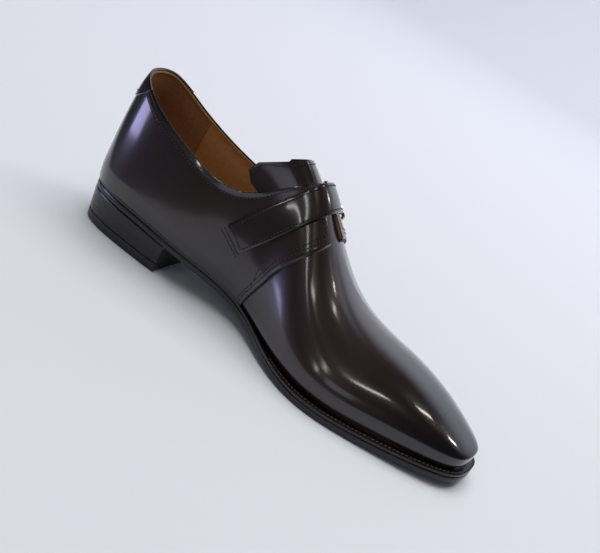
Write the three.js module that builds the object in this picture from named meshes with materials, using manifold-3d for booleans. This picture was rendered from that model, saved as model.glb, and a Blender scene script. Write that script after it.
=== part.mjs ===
// Single monk strap shoe for the left foot, standing on its sole.
// Units are millimetres. +X points to the toe, +Y to the outer side of the foot, +Z up.
import * as THREE from 'three';
import { mergeVertices } from 'three/addons/utils/BufferGeometryUtils.js';
import Module from 'manifold-3d';

// Sizes of the last, measured over the leather.
const LENGTH = 296;
const BALL_WIDTH = 95.2;
const INSTEP_HEIGHT = 100;
const COLLAR_HEIGHT = 105;
const HEEL_RISE = 22.5;
const TOE_SPRING = 5.5;

// Leather thicknesses.
const WALL = 2;
const QUARTER_STEP = 1.8;
const TAB_STEP = 1;
const STRAP_THICKNESS = 2.4;
const TONGUE_THICKNESS = 1.8;
const INSOLE_THICKNESS = 3;

// Sole and heel.
const WELT_THICKNESS = 2.5;
const OUTSOLE_THICKNESS = 4;
const TOP_PIECE_THICKNESS = 6;
const LEDGE = 4.7;
const HEEL_LENGTH = 76;
const HEEL_TAPER = 0.1;
const BREAST_HOLLOW = 5;
const TREAD_FLAT = 0.5;

// Strap, buckle and throat.
const STRAP_WIDTH = 18.6;
const STRAP_ANGLE = 56;
const STRAP_CREST = { x: 142, z: 96 };
const STRAP_REAR_GIRTH = 65.5;
const STRAP_TAIL_GIRTH = 67;
const STRAP_REAR_SKEW = -0.27;
const STRAP_ARCH = 1.6;
const ARCH_GIRTH = 4;
const ARCH_FLAT = 6;
const ARCH_REACH = 24;
const BUCKLE_GIRTH = 38;
const BUCKLE_LENGTH = 21;
const BUCKLE_BAR = 2.5;
const THROAT_WIDTH = 13;
const THROAT_LENGTH = 40;

// Clearance between pieces that rest on each other.
const GAP = 0.3;
const SOLE_THICKNESS = WELT_THICKNESS + GAP + OUTSOLE_THICKNESS;

// Facets: outline steps per table row, and steps up the wall.
const STEPS_PER_ROW = 4;
const TUCK_STEPS = 2;
const WALL_STEPS = 13;

// Outline of the last from heel to toe. along is a share of LENGTH; lateral, medial and swell are
// shares of BALL_WIDTH; crown and wall set how square the section is across and up.
const OUTLINE = [
  { along: 0.000, lateral: 0.000, medial: 0.000, swell: 0.004, crown: 2.6, wall: 2.8 },
  { along: 0.012, lateral: 0.180, medial: 0.200, swell: 0.010, crown: 2.6, wall: 2.8 },
  { along: 0.070, lateral: 0.246, medial: 0.302, swell: 0.018, crown: 2.3, wall: 2.6 },
  { along: 0.170, lateral: 0.266, medial: 0.315, swell: 0.022, crown: 1.8, wall: 2.3 },
  { along: 0.300, lateral: 0.362, medial: 0.320, swell: 0.035, crown: 1.9, wall: 2.1 },
  { along: 0.430, lateral: 0.406, medial: 0.126, swell: 0.050, crown: 2.0, wall: 1.9 },
  { along: 0.560, lateral: 0.485, medial: 0.376, swell: 0.042, crown: 2.0, wall: 1.8 },
  { along: 0.680, lateral: 0.510, medial: 0.530, swell: 0.028, crown: 2.0, wall: 1.9 },
  { along: 0.790, lateral: 0.450, medial: 0.450, swell: 0.020, crown: 2.2, wall: 2.0 },
  { along: 0.890, lateral: 0.310, medial: 0.360, swell: 0.015, crown: 2.8, wall: 2.4 },
  { along: 0.965, lateral: 0.190, medial: 0.274, swell: 0.010, crown: 3.6, wall: 2.9 },
  { along: 1.000, lateral: 0.090, medial: 0.182, swell: 0.010, crown: 4.0, wall: 3.2 },
  { along: 1.003, lateral: 0.000, medial: 0.000, swell: 0.010, crown: 4.0, wall: 3.2 },
];

// Side profile, one row per tenth of LENGTH. lift is a share of HEEL_RISE, spring of TOE_SPRING,
// crest of INSTEP_HEIGHT above the footbed, lean of BALL_WIDTH, girdle is the widest line's height.
const PROFILE = [
  { lift: 1.00, spring: 0.00, crest: 1.120, lean: -0.180, girdle: 12.0, ledge: 0.18 },
  { lift: 1.00, spring: 0.00, crest: 1.120, lean: -0.180, girdle: 12.0, ledge: 0.20 },
  { lift: 0.95, spring: 0.00, crest: 1.110, lean: -0.140, girdle: 11.5, ledge: 0.22 },
  { lift: 0.80, spring: 0.00, crest: 1.080, lean: -0.070, girdle: 11.0, ledge: 0.18 },
  { lift: 0.52, spring: 0.00, crest: 0.971, lean: -0.020, girdle: 10.5, ledge: 0.20 },
  { lift: 0.24, spring: 0.00, crest: 0.803, lean: -0.040, girdle: 10.0, ledge: 0.45 },
  { lift: 0.06, spring: 0.00, crest: 0.488, lean: -0.040, girdle: 9.5, ledge: 1.05 },
  { lift: 0.00, spring: 0.00, crest: 0.385, lean: -0.030, girdle: 9.0, ledge: 1.05 },
  { lift: 0.00, spring: 0.22, crest: 0.358, lean: -0.020, girdle: 8.5, ledge: 1.04 },
  { lift: 0.00, spring: 0.60, crest: 0.262, lean: -0.020, girdle: 8.0, ledge: 1.00 },
  { lift: 0.00, spring: 1.10, crest: 0.112, lean: -0.020, girdle: 7.5, ledge: 0.78 },
];

// Topline seen from the side: x is a share of LENGTH, z of COLLAR_HEIGHT.
const TOPLINE = [
  { x: -0.02, z: 1.024 },
  { x: 0.012, z: 1.002 },
  { x: 0.052, z: 0.944 },
  { x: 0.104, z: 0.877 },
  { x: 0.164, z: 0.818 },
  { x: 0.223, z: 0.768 },
  { x: 0.279, z: 0.733 },
  { x: 0.334, z: 0.735 },
  { x: 0.373, z: 0.790 },
  { x: 0.403, z: 0.866 },
  { x: 0.446, z: 0.972 },
  { x: 0.464, z: 1.040 },
  { x: 0.480, z: 1.120 },
];

// Front edge of the quarters seen from the side, from the welt up to the throat.
const QUARTER_EDGE = [
  { x: 0.446, z: 0.130 },
  { x: 0.454, z: 0.219 },
  { x: 0.460, z: 0.273 },
  { x: 0.472, z: 0.369 },
  { x: 0.483, z: 0.466 },
  { x: 0.503, z: 0.580 },
  { x: 0.526, z: 0.680 },
  { x: 0.538, z: 0.740 },
  { x: 0.543, z: 0.790 },
  { x: 0.545, z: 0.860 },
];

// Outline of the tongue seen from the side, from its lower front corner round to its top.
const TONGUE_EDGE = [
  { x: 0.600, z: 0.480 },
  { x: 0.480, z: 0.560 },
  { x: 0.400, z: 0.690 },
  { x: 0.350, z: 0.775 },
  { x: 0.332, z: 0.858 },
  { x: 0.339, z: 0.922 },
  { x: 0.416, z: 1.064 },
  { x: 0.440, z: 1.150 },
  { x: 0.600, z: 1.150 },
];

// Lower edge of the back tab seen from the side.
const TAB_EDGE = [
  { x: -0.02, z: 0.800 },
  { x: 0.010, z: 0.822 },
  { x: 0.035, z: 0.868 },
  { x: 0.066, z: 0.945 },
  { x: 0.080, z: 1.000 },
];

// Leather, thread and metal colours.
const calf = { color: 0x2f2624, roughness: 0.28, metalness: 0 };
const lining = { color: 0x9a6a35, roughness: 0.6, metalness: 0 };
const edge = { color: 0x14110f, roughness: 0.4, metalness: 0 };
const rubber = { color: 0x1a1817, roughness: 0.7, metalness: 0 };
const gilt = { color: 0xd9c48c, roughness: 0.25, metalness: 1 };

const wasm = await Module();
wasm.setup();

// Values between table rows on a smooth cubic curve that the rows pull towards themselves.
function blend(rows, place, closed) {
  const start = Math.floor(place);
  const f = place - start;
  const pulls = [
    (1 - f) ** 3 / 6,
    (3 * f ** 3 - 6 * f ** 2 + 4) / 6,
    (-3 * f ** 3 + 3 * f ** 2 + 3 * f + 1) / 6,
    f ** 3 / 6,
  ];
  const last = rows.length - 1;
  const value = (index, key) => {
    if (closed) return rows[(index + rows.length) % rows.length][key];
    if (index < 0) return 2 * rows[0][key] - rows[1][key];
    if (index > last) return rows[last][key] + (index - last) * (rows[last][key] - rows[last - 1][key]);
    return rows[index][key];
  };
  const result = {};
  for (const key of Object.keys(rows[0])) {
    result[key] = pulls.reduce((sum, pull, k) => sum + pull * value(start - 1 + k, key), 0);
  }
  return result;
}

// The outline as one closed loop: out along the lateral side, back along the medial side.
const sideRow = (row, width) => ({
  along: row.along, width, swell: row.swell, crown: row.crown, wall: row.wall,
});
const LOOP = [
  ...OUTLINE.map((row) => sideRow(row, row.lateral)),
  ...OUTLINE.slice(1, -1).reverse().map((row) => sideRow(row, -row.medial)),
];
const TOE = OUTLINE.length - 1;
const TURN = LOOP.length;
const samples = Array.from({ length: TURN * 16 }, (_, k) => blend(LOOP, k / 16, true));
const extent = (key) => samples.reduce(
  ([low, high], row) => [Math.min(low, row[key]), Math.max(high, row[key])], [Infinity, -Infinity]);
const [alongMin, alongMax] = extent('along');
const [widthMin, widthMax] = extent('width');

function outline(u) {
  const row = blend(LOOP, ((u % TURN) + TURN) % TURN, true);
  return {
    x: (row.along - alongMin) / (alongMax - alongMin) * LENGTH,
    y: row.width / (widthMax - widthMin) * BALL_WIDTH,
    swell: row.swell * BALL_WIDTH,
    crown: row.crown,
    wall: row.wall,
  };
}

// Outward direction of the outline in plan.
function outward(u) {
  const step = 0.001;
  const before = outline(u - step);
  const after = outline(u + step);
  const along = new THREE.Vector2(after.x - before.x, after.y - before.y).normalize();
  return new THREE.Vector2(-along.y, along.x);
}

function profile(x) {
  const share = THREE.MathUtils.clamp(x / LENGTH, -0.05, 1.05);
  return blend(PROFILE, share * (PROFILE.length - 1), false);
}

// Underside of the upper. The ball of the sole is pressed flat on the floor.
function footbed(x) {
  const row = profile(x);
  const rise = row.lift * HEEL_RISE + row.spring * TOE_SPRING;
  return SOLE_THICKNESS + Math.max(0, rise - TREAD_FLAT);
}

// Points of the outline fan towards this line over the middle of the foot.
const SPINE_START = 0.12 * LENGTH;
const SPINE_END = 0.86 * LENGTH;

// A point on the last. u runs round the outline, v from the feather edge at -1 over the widest
// line at 0 to the crest at 1, and out is the distance outside the vamp's face.
function lastPoint(u, v, out = 0) {
  const foot = outline(u);
  const side = outward(u);
  const girdle = profile(foot.x).girdle;
  const base = footbed(foot.x);
  if (v < 0) {
    const swell = out + foot.swell * (1 - v * v);
    return new THREE.Vector3(foot.x + side.x * swell, foot.y + side.y * swell, base + girdle * (1 + v));
  }
  const share = foot.x / LENGTH;
  const spineX = SPINE_START + (SPINE_END - SPINE_START) * share;
  const spineY = profile(spineX).lean * BALL_WIDTH;
  const turn = v * Math.PI / 2;
  const across = Math.max(Math.cos(turn), 0) ** (2 / foot.crown);
  const up = Math.sin(turn) ** (2 / foot.wall);
  const reach = out + foot.swell;
  const x = spineX + across * (foot.x + side.x * reach - spineX);
  const y = spineY + across * (foot.y + side.y * reach - spineY);
  const crest = footbed(x) + profile(x).crest * INSTEP_HEIGHT + out;
  const widest = base + girdle;
  return new THREE.Vector3(x, y, widest + (crest - widest) * up);
}

// Merges vertices and drops the triangles that this closes up.
function closedGeometry(positions, indices) {
  const raw = new THREE.BufferGeometry();
  raw.setAttribute('position', new THREE.Float32BufferAttribute(positions, 3));
  raw.setIndex(indices);
  const merged = mergeVertices(raw, 1e-3);
  const kept = [];
  const index = merged.index.array;
  for (let k = 0; k < index.length; k += 3) {
    const [a, b, c] = [index[k], index[k + 1], index[k + 2]];
    if (a !== b && b !== c && c !== a) kept.push(a, b, c);
  }
  merged.setIndex(kept);
  return merged;
}

// Joins rings of points into a closed body. Each ring has the same number of points.
// With looped rings the body closes on itself; otherwise flat fans close both ends.
function loft(rings, looped = false) {
  const count = rings[0].length;
  const positions = rings.flat().flatMap((point) => [point.x, point.y, point.z]);
  const indices = [];
  const steps = looped ? rings.length : rings.length - 1;
  for (let r = 0; r < steps; r += 1) {
    const next = (r + 1) % rings.length;
    for (let k = 0; k < count; k += 1) {
      const k1 = (k + 1) % count;
      const [a, b, c, d] = [r * count + k, r * count + k1, next * count + k1, next * count + k];
      indices.push(a, b, c, a, c, d);
    }
  }
  if (!looped) {
    const top = (rings.length - 1) * count;
    for (let k = 1; k < count - 1; k += 1) {
      indices.push(0, k + 1, k);
      indices.push(top, top + k, top + k + 1);
    }
  }
  return closedGeometry(positions, indices);
}

// Rings around the outline, closed below and above by strips across the foot.
function plate(rings) {
  const count = rings[0].length;
  const positions = rings.flat().flatMap((point) => [point.x, point.y, point.z]);
  const indices = [];
  for (let r = 0; r < rings.length - 1; r += 1) {
    for (let k = 0; k < count; k += 1) {
      const k1 = (k + 1) % count;
      const [a, b, c, d] = [r * count + k, r * count + k1, (r + 1) * count + k1, (r + 1) * count + k];
      indices.push(a, c, b, a, d, c);
    }
  }
  const top = (rings.length - 1) * count;
  for (let k = 0; k < count / 2; k += 1) {
    const [a, b] = [k, k + 1];
    const [c, d] = [(count - k - 1) % count, (count - k) % count];
    indices.push(a, b, c, a, c, d);
    indices.push(top + a, top + c, top + b, top + a, top + d, top + c);
  }
  return closedGeometry(positions, indices);
}

const STATIONS = Array.from({ length: TURN * STEPS_PER_ROW }, (_, k) => k / STEPS_PER_ROW);

// The filled last, out millimetres outside the vamp's face, reaching down by drop.
function lump(out, drop = 0) {
  const heights = [];
  if (drop) heights.push(null);
  for (let k = 0; k < TUCK_STEPS; k += 1) heights.push(-1 + k / TUCK_STEPS);
  for (let k = 0; k <= WALL_STEPS; k += 1) heights.push(k / WALL_STEPS);
  const rings = heights.map((v) => STATIONS.map((u) => {
    if (v !== null) return lastPoint(u, v, out);
    return lastPoint(u, -1, out).add(new THREE.Vector3(0, 0, -drop));
  }));
  return plate(rings);
}

function toSolid(geometry) {
  const bare = geometry.clone();
  bare.deleteAttribute('normal');
  bare.deleteAttribute('uv');
  const merged = bare.index ? bare : mergeVertices(bare, 1e-4);
  return new wasm.Manifold(new wasm.Mesh({
    numProp: 3,
    vertProperties: Float32Array.from(merged.attributes.position.array),
    triVerts: Uint32Array.from(merged.index.array),
  }));
}

function toGeometry(solid) {
  const mesh = solid.getMesh();
  return closedGeometry(Array.from(mesh.vertProperties), Array.from(mesh.triVerts));
}

// A cutter through the whole width of the shoe from an outline in the side view.
const HALF_SPAN = 200;
function sideCutter(corners) {
  const shape = new THREE.Shape(corners.map(({ x, z }) => new THREE.Vector2(x, z)));
  const block = new THREE.ExtrudeGeometry(shape, { depth: 2 * HALF_SPAN, bevelEnabled: false });
  block.rotateX(Math.PI / 2);
  block.translate(0, HALF_SPAN, 0);
  block.deleteAttribute('normal');
  block.deleteAttribute('uv');
  return toSolid(mergeVertices(block, 1e-4));
}

// A cutter through the whole height of the shoe from an outline in plan.
function planCutter(corners) {
  const shape = new THREE.Shape(corners.map(({ x, y }) => new THREE.Vector2(x, y)));
  const block = new THREE.ExtrudeGeometry(shape, { depth: 2 * HALF_SPAN, bevelEnabled: false });
  block.translate(0, 0, -HALF_SPAN);
  block.deleteAttribute('normal');
  block.deleteAttribute('uv');
  return toSolid(mergeVertices(block, 1e-4));
}

// A smooth line through a side-view table, in millimetres.
function sideLine(rows, steps) {
  const points = rows.map(({ x, z }) => new THREE.Vector2(x * LENGTH, z * COLLAR_HEIGHT));
  return new THREE.SplineCurve(points).getPoints(steps).map((point) => ({ x: point.x, z: point.y }));
}

// The same, with its corners left sharp.
function straightLine(rows) {
  return rows.map(({ x, z }) => ({ x: x * LENGTH, z: z * COLLAR_HEIGHT }));
}

const FAR = 2 * LENGTH;

// Everything above the topline.
const aboveTopline = sideCutter([
  ...sideLine(TOPLINE, 52),
  { x: 0.48 * LENGTH, z: FAR },
  { x: -FAR, z: FAR },
  { x: -FAR, z: TOPLINE[0].z * COLLAR_HEIGHT },
]);

// Everything behind the quarters' front edge.
const behindQuarterEdge = sideCutter([
  { x: -FAR, z: -FAR },
  { x: QUARTER_EDGE[0].x * LENGTH, z: -FAR },
  ...sideLine(QUARTER_EDGE, 36),
  { x: QUARTER_EDGE[QUARTER_EDGE.length - 1].x * LENGTH, z: FAR },
  { x: -FAR, z: FAR },
]);

// The slot between the two quarter flaps, rounded where it opens over the vamp.
function throatSlot(front, flare) {
  const middle = profile(STRAP_CREST.x).lean * BALL_WIDTH;
  const half = THROAT_WIDTH / 2;
  const back = STRAP_CREST.x - THROAT_LENGTH;
  const corners = [{ x: back, y: middle - half }];
  const turns = 5;
  for (let k = 0; k <= turns; k += 1) {
    const angle = k / turns * Math.PI / 2;
    const x = front - flare + flare * Math.sin(angle);
    corners.push({ x, y: middle - half - flare * (1 - Math.cos(angle)) });
  }
  const mirrored = corners.map(({ x, y }) => ({ x, y: 2 * middle - y })).reverse();
  return planCutter([...corners, ...mirrored]);
}

// Vamp, quarters and back tab in one hollow body, open at the collar, the throat and underneath.
function makeUpper() {
  const inside = toSolid(lump(-WALL, SOLE_THICKNESS));
  const vampEnd = STRAP_CREST.x;
  const vamp = toSolid(lump(0)).subtract(throatSlot(vampEnd, 0));
  const quarterFront = QUARTER_EDGE[QUARTER_EDGE.length - 1].x * LENGTH;
  const quarters = toSolid(lump(QUARTER_STEP))
    .intersect(behindQuarterEdge)
    .subtract(throatSlot(quarterFront + 1, THROAT_WIDTH * 0.45));
  const belowTab = sideLine(TAB_EDGE, 16);
  const tab = toSolid(lump(QUARTER_STEP + TAB_STEP)).intersect(sideCutter([
    ...belowTab,
    { x: belowTab[belowTab.length - 1].x, z: FAR },
    { x: -FAR, z: FAR },
    { x: -FAR, z: belowTab[0].z },
  ]));
  return toGeometry(vamp.add(quarters).add(tab).subtract(aboveTopline).subtract(inside));
}

// The tongue lies inside the throat and rises above the strap.
function makeTongue() {
  const face = -WALL - GAP;
  const shell = toSolid(lump(face)).subtract(toSolid(lump(face - TONGUE_THICKNESS, SOLE_THICKNESS)));
  return toGeometry(shell.intersect(sideCutter(straightLine(TONGUE_EDGE))));
}

// A point near the feather edge, at a height over the footbed.
function solePoint(u, out, rise) {
  const point = lastPoint(u, -1, out);
  point.z = footbed(point.x) + rise;
  return point;
}

function makeInsole() {
  const ring = (rise) => STATIONS.map((u) => solePoint(u, -WALL - GAP, rise));
  return plate([ring(GAP), ring(GAP + INSOLE_THICKNESS)]);
}

const ledgeAt = (x) => LEDGE * profile(x).ledge;

// The welt is a flat strip round the whole foot.
function makeWelt() {
  const inner = -WALL - 4;
  const rings = STATIONS.map((u) => {
    const outer = ledgeAt(outline(u).x);
    const top = -GAP;
    const base = -WELT_THICKNESS;
    return [
      solePoint(u, inner, base), solePoint(u, inner, top), solePoint(u, outer - 0.6, top),
      solePoint(u, outer, top - 0.6), solePoint(u, outer, base),
    ];
  });
  return loft(rings.reverse(), true);
}

function makeOutsole() {
  const top = -WELT_THICKNESS - GAP;
  const base = -SOLE_THICKNESS;
  const bevel = 0.8;
  const ring = (out, rise) => STATIONS.map((u) => solePoint(u, ledgeAt(outline(u).x) + out, rise));
  return plate([ring(-bevel, base), ring(0, base + bevel), ring(0, top)]);
}

// The heel narrows towards the floor and is cut hollow at the breast.
function heelBlock(lowAt, highAt) {
  const ring = (heightAt) => STATIONS.map((u) => {
    const x = outline(u).x;
    const drop = footbed(x) - SOLE_THICKNESS - heightAt(x);
    const point = lastPoint(u, -1, ledgeAt(x) - HEEL_TAPER * drop);
    point.z = heightAt(point.x);
    return point;
  });
  const turns = 12;
  const half = BALL_WIDTH / 2;
  const front = [];
  for (let k = 0; k <= turns; k += 1) {
    const y = half * (2 * k / turns - 1);
    front.push({ x: HEEL_LENGTH - BREAST_HOLLOW * (1 - (y / half) ** 2), y });
  }
  const behindBreast = planCutter([{ x: -FAR, y: -half }, ...front, { x: -FAR, y: half }]);
  return toGeometry(toSolid(plate([ring(lowAt), ring(highAt)])).intersect(behindBreast));
}

const underSole = (x) => footbed(x) - SOLE_THICKNESS - GAP;
const makeHeelStack = () => heelBlock(
  (x) => Math.min(TOP_PIECE_THICKNESS + GAP, underSole(x) - 1), underSole);
const makeTopPiece = () => heelBlock(
  () => 0, (x) => Math.min(TOP_PIECE_THICKNESS, underSole(x) - 1));

// The strap's band round the instep: shift is measured across it, towards the toe.
const bandAcross = new THREE.Vector2(
  Math.sin(THREE.MathUtils.degToRad(STRAP_ANGLE)), -Math.cos(THREE.MathUtils.degToRad(STRAP_ANGLE)));

function bandPoint(side, v, shift, out) {
  let heel = side > 0 ? 0 : TURN;
  let toe = TOE;
  let point = null;
  for (let k = 0; k < 30; k += 1) {
    const middle = (heel + toe) / 2;
    point = lastPoint(middle, v, out);
    const across = (point.x - STRAP_CREST.x) * bandAcross.x + (point.z - STRAP_CREST.z) * bandAcross.y;
    if (across < shift) heel = middle;
    else toe = middle;
  }
  return point;
}

// Girth is measured from the crest along the band's middle, positive on the lateral side.
function girthTable(side) {
  const table = [{ v: 1, girth: 0 }];
  let before = bandPoint(side, 1, 0, QUARTER_STEP);
  for (let k = 1; k <= 60; k += 1) {
    const v = 1 - k / 60;
    const point = bandPoint(side, v, 0, QUARTER_STEP);
    table.push({ v, girth: table[k - 1].girth + point.distanceTo(before) });
    before = point;
  }
  return table;
}
const lateralGirth = girthTable(1);
const medialGirth = girthTable(-1);

function wrapped(girth, shift, out) {
  const table = girth >= 0 ? lateralGirth : medialGirth;
  const reach = Math.min(Math.abs(girth), table[table.length - 1].girth);
  let k = 1;
  while (k < table.length - 1 && table[k].girth < reach) k += 1;
  const { v: v0, girth: g0 } = table[k - 1];
  const { v: v1, girth: g1 } = table[k];
  const v = v0 + (v1 - v0) * (reach - g0) / (g1 - g0);
  return bandPoint(girth >= 0 ? 1 : -1, v, shift, out);
}

const STRAP_REST = QUARTER_STEP + GAP;
const CHAPE_THICKNESS = 1.2;
const HINGE_THICKNESS = 1.6;
const HINGE_GIRTH = BUCKLE_GIRTH + BUCKLE_LENGTH / 2 - BUCKLE_BAR / 2;

// Height of the strap's underside: it climbs over the buckle's hinge bar.
function strapRest(girth) {
  const climb = CHAPE_THICKNESS + HINGE_THICKNESS + 2 * GAP;
  const rise = THREE.MathUtils.smoothstep(girth, HINGE_GIRTH - 9, HINGE_GIRTH - 2);
  const fall = THREE.MathUtils.smoothstep(girth, HINGE_GIRTH + 2, HINGE_GIRTH + 10);
  const arch = 1 - THREE.MathUtils.smoothstep(Math.abs(girth - ARCH_GIRTH), ARCH_FLAT, ARCH_REACH);
  return STRAP_REST + STRAP_ARCH * arch + climb * rise - (HINGE_THICKNESS + GAP) * fall;
}

// A strip of leather round the band. tip cuts the corners of its lateral end.
function strip({ from, to, width, steps, restAt, thickness, skew = 0, tip = 0 }) {
  const across = [-1, -0.5, 0, 0.5, 1];
  const rings = [];
  for (let k = 0; k <= steps; k += 1) {
    const share = k / steps;
    const girth = from + (to - from) * share;
    const left = to - girth;
    const half = width / 2 - Math.max(0, tip - left) * 0.8;
    const lean = skew * THREE.MathUtils.smoothstep(-girth, 0, -from);
    const place = (s, rise) => wrapped(girth + lean * s * half, s * half, restAt(girth) + rise);
    const lower = across.map((s) => place(s, 0));
    const upper = across.map((s) => place(s, thickness * (Math.abs(s) === 1 ? 0.85 : 1))).reverse();
    rings.unshift([...lower, ...upper]);
  }
  return loft(rings);
}

function makeStrap() {
  return strip({
    from: -STRAP_REAR_GIRTH, to: STRAP_TAIL_GIRTH, width: STRAP_WIDTH, steps: 44,
    restAt: strapRest, thickness: STRAP_THICKNESS, skew: STRAP_REAR_SKEW, tip: 6,
  });
}

function makeChape() {
  return strip({
    from: HINGE_GIRTH - BUCKLE_BAR, to: STRAP_TAIL_GIRTH - 6, width: STRAP_WIDTH * 0.8, steps: 8,
    restAt: () => STRAP_REST, thickness: CHAPE_THICKNESS,
  });
}

// Bends a flat piece round the band: its x is girth, its y shift and its z height over the vamp.
function bend(geometry) {
  const position = geometry.attributes.position;
  for (let k = 0; k < position.count; k += 1) {
    const point = wrapped(position.getX(k), position.getY(k), position.getZ(k));
    position.setXYZ(k, point.x, point.y, point.z);
  }
  return geometry;
}

// Rounds the corners of a closed polygon of points.
function roundedPath(points, radius) {
  const path = new THREE.CurvePath();
  const cut = (from, to) => from.clone().add(to.clone().sub(from).setLength(radius));
  points.forEach((corner, k) => {
    const before = points[(k + points.length - 1) % points.length];
    const after = points[(k + 1) % points.length];
    path.add(new THREE.QuadraticBezierCurve3(cut(corner, before), corner, cut(corner, after)));
    path.add(new THREE.LineCurve3(cut(corner, after), cut(after, corner)));
  });
  return path;
}

// A closed bar along a path of (girth, shift, height) points, as thick as thicknessAt its girth.
function barRing(path, thicknessAt) {
  const steps = 56;
  const turns = 8;
  const rings = [];
  for (let k = 0; k < steps; k += 1) {
    const middle = path.getPointAt(k / steps);
    const along = path.getTangentAt(k / steps);
    const across = new THREE.Vector3(along.y, -along.x, 0).normalize();
    const radius = thicknessAt(middle.x) / 2;
    const ring = [];
    for (let j = 0; j < turns; j += 1) {
      const angle = (j + 0.5) / turns * 2 * Math.PI;
      const point = middle.clone().addScaledVector(across, Math.cos(angle) * radius);
      point.z += Math.sin(angle) * radius;
      ring.push(point);
    }
    rings.push(ring);
  }
  return loft(rings, true);
}

// Rectangular buckle: the bar next to the crest crosses over the strap, the hinge bar under it.
function makeBuckle() {
  const halfLength = (BUCKLE_LENGTH - BUCKLE_BAR) / 2;
  const halfWidth = STRAP_WIDTH / 2 + 2 * GAP + BUCKLE_BAR / 2;
  const over = STRAP_REST + STRAP_THICKNESS + GAP + BUCKLE_BAR / 2;
  const under = STRAP_REST + CHAPE_THICKNESS + GAP + HINGE_THICKNESS / 2;
  const near = BUCKLE_GIRTH - halfLength;
  const corners = [
    new THREE.Vector3(near, halfWidth, over), new THREE.Vector3(HINGE_GIRTH, halfWidth, under),
    new THREE.Vector3(HINGE_GIRTH, -halfWidth, under), new THREE.Vector3(near, -halfWidth, over),
  ];
  const thinning = (girth) => THREE.MathUtils.smoothstep(girth, HINGE_GIRTH - 3, HINGE_GIRTH - 1);
  const thicknessAt = (girth) => BUCKLE_BAR + (HINGE_THICKNESS - BUCKLE_BAR) * thinning(girth);
  return bend(barRing(roundedPath(corners, BUCKLE_BAR), thicknessAt));
}

// The prong lies on the strap, from its loop end to just short of the near bar.
function makeProng() {
  const rise = STRAP_THICKNESS + GAP;
  const tip = BUCKLE_GIRTH - BUCKLE_LENGTH / 2 + BUCKLE_BAR + GAP;
  const root = HINGE_GIRTH - 2.5;
  const halfWidth = 0.9;
  const steps = 6;
  const rings = [];
  for (let k = 0; k <= steps; k += 1) {
    const girth = tip + (root - tip) * k / steps;
    const width = halfWidth * (k === 0 ? 0.6 : 1);
    const low = strapRest(girth) + rise;
    const high = low + 1.5;
    rings.unshift([
      wrapped(girth, -width, low), wrapped(girth, width, low),
      wrapped(girth, width, high - 0.4), wrapped(girth, 0, high), wrapped(girth, -width, high - 0.4),
    ]);
  }
  return loft(rings);
}

const PIECES = [
  ['upper', makeUpper, calf],
  ['tongue', makeTongue, calf],
  ['strap', makeStrap, calf],
  ['buckle_chape', makeChape, calf],
  ['buckle_frame', makeBuckle, gilt],
  ['buckle_prong', makeProng, gilt],
  ['insole', makeInsole, lining],
  ['welt', makeWelt, edge],
  ['outsole', makeOutsole, edge],
  ['heel_stack', makeHeelStack, edge],
  ['heel_top_piece', makeTopPiece, rubber],
];

const shoe = new THREE.Group();
shoe.name = 'monk_strap_shoe';
for (const [name, make, finish] of PIECES) {
  const mesh = new THREE.Mesh(make(), new THREE.MeshStandardMaterial(finish));
  mesh.name = name;
  shoe.add(mesh);
}

// The origin is under the middle of the shoe, on the floor.
const box = new THREE.Box3().setFromObject(shoe);
const centre = box.getCenter(new THREE.Vector3());
shoe.position.set(-centre.x, -centre.y, -box.min.z);

export default shoe;
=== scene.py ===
"""Single monk strap shoe for the left foot: burnished calf, leather sole, gilt buckle."""

import logging
import math
from collections.abc import Callable
from dataclasses import dataclass, field
from enum import Enum

import bmesh
import bpy
import numpy as np
from mathutils import Matrix, Vector
from numpy.typing import NDArray


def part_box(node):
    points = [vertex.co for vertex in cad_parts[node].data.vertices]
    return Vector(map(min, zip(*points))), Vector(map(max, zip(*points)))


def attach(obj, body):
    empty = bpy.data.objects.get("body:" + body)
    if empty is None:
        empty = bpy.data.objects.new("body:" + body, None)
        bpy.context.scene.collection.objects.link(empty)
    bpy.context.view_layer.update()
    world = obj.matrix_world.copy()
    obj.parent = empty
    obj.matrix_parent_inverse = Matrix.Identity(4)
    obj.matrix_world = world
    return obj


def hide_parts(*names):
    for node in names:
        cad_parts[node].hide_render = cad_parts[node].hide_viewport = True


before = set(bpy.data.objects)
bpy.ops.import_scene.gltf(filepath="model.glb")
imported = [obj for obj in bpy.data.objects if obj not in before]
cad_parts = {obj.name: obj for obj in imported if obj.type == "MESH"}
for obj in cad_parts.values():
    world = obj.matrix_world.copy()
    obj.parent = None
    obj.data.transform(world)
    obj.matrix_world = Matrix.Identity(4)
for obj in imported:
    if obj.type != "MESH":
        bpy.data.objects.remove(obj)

Array = NDArray[np.float64]
Height = Callable[[Array], Array]
Row = tuple[Array, Array, Array]
SideView = tuple[tuple[float, float], ...]
log = logging.getLogger("monk_shoe")

MM = 0.001
LENGTH = 296.0
BALL_WIDTH = 95.2
INSTEP_HEIGHT = 100.0
COLLAR_HEIGHT = 105.0
HEEL_RISE = 22.5
TOE_SPRING = 5.5
WALL = 2.0
QUARTER_STEP = 1.8
SOLE_THICKNESS = 6.8
TREAD_FLAT = 0.5
LEDGE = 4.7
STRAP_CREST = (142.0, 96.0)
STRAP_ANGLE = math.radians(56)
THROAT_WIDTH = 13.0
# Millimetres of leather for one unit of v, just under the topline.
V_RISE = 74.0

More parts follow.
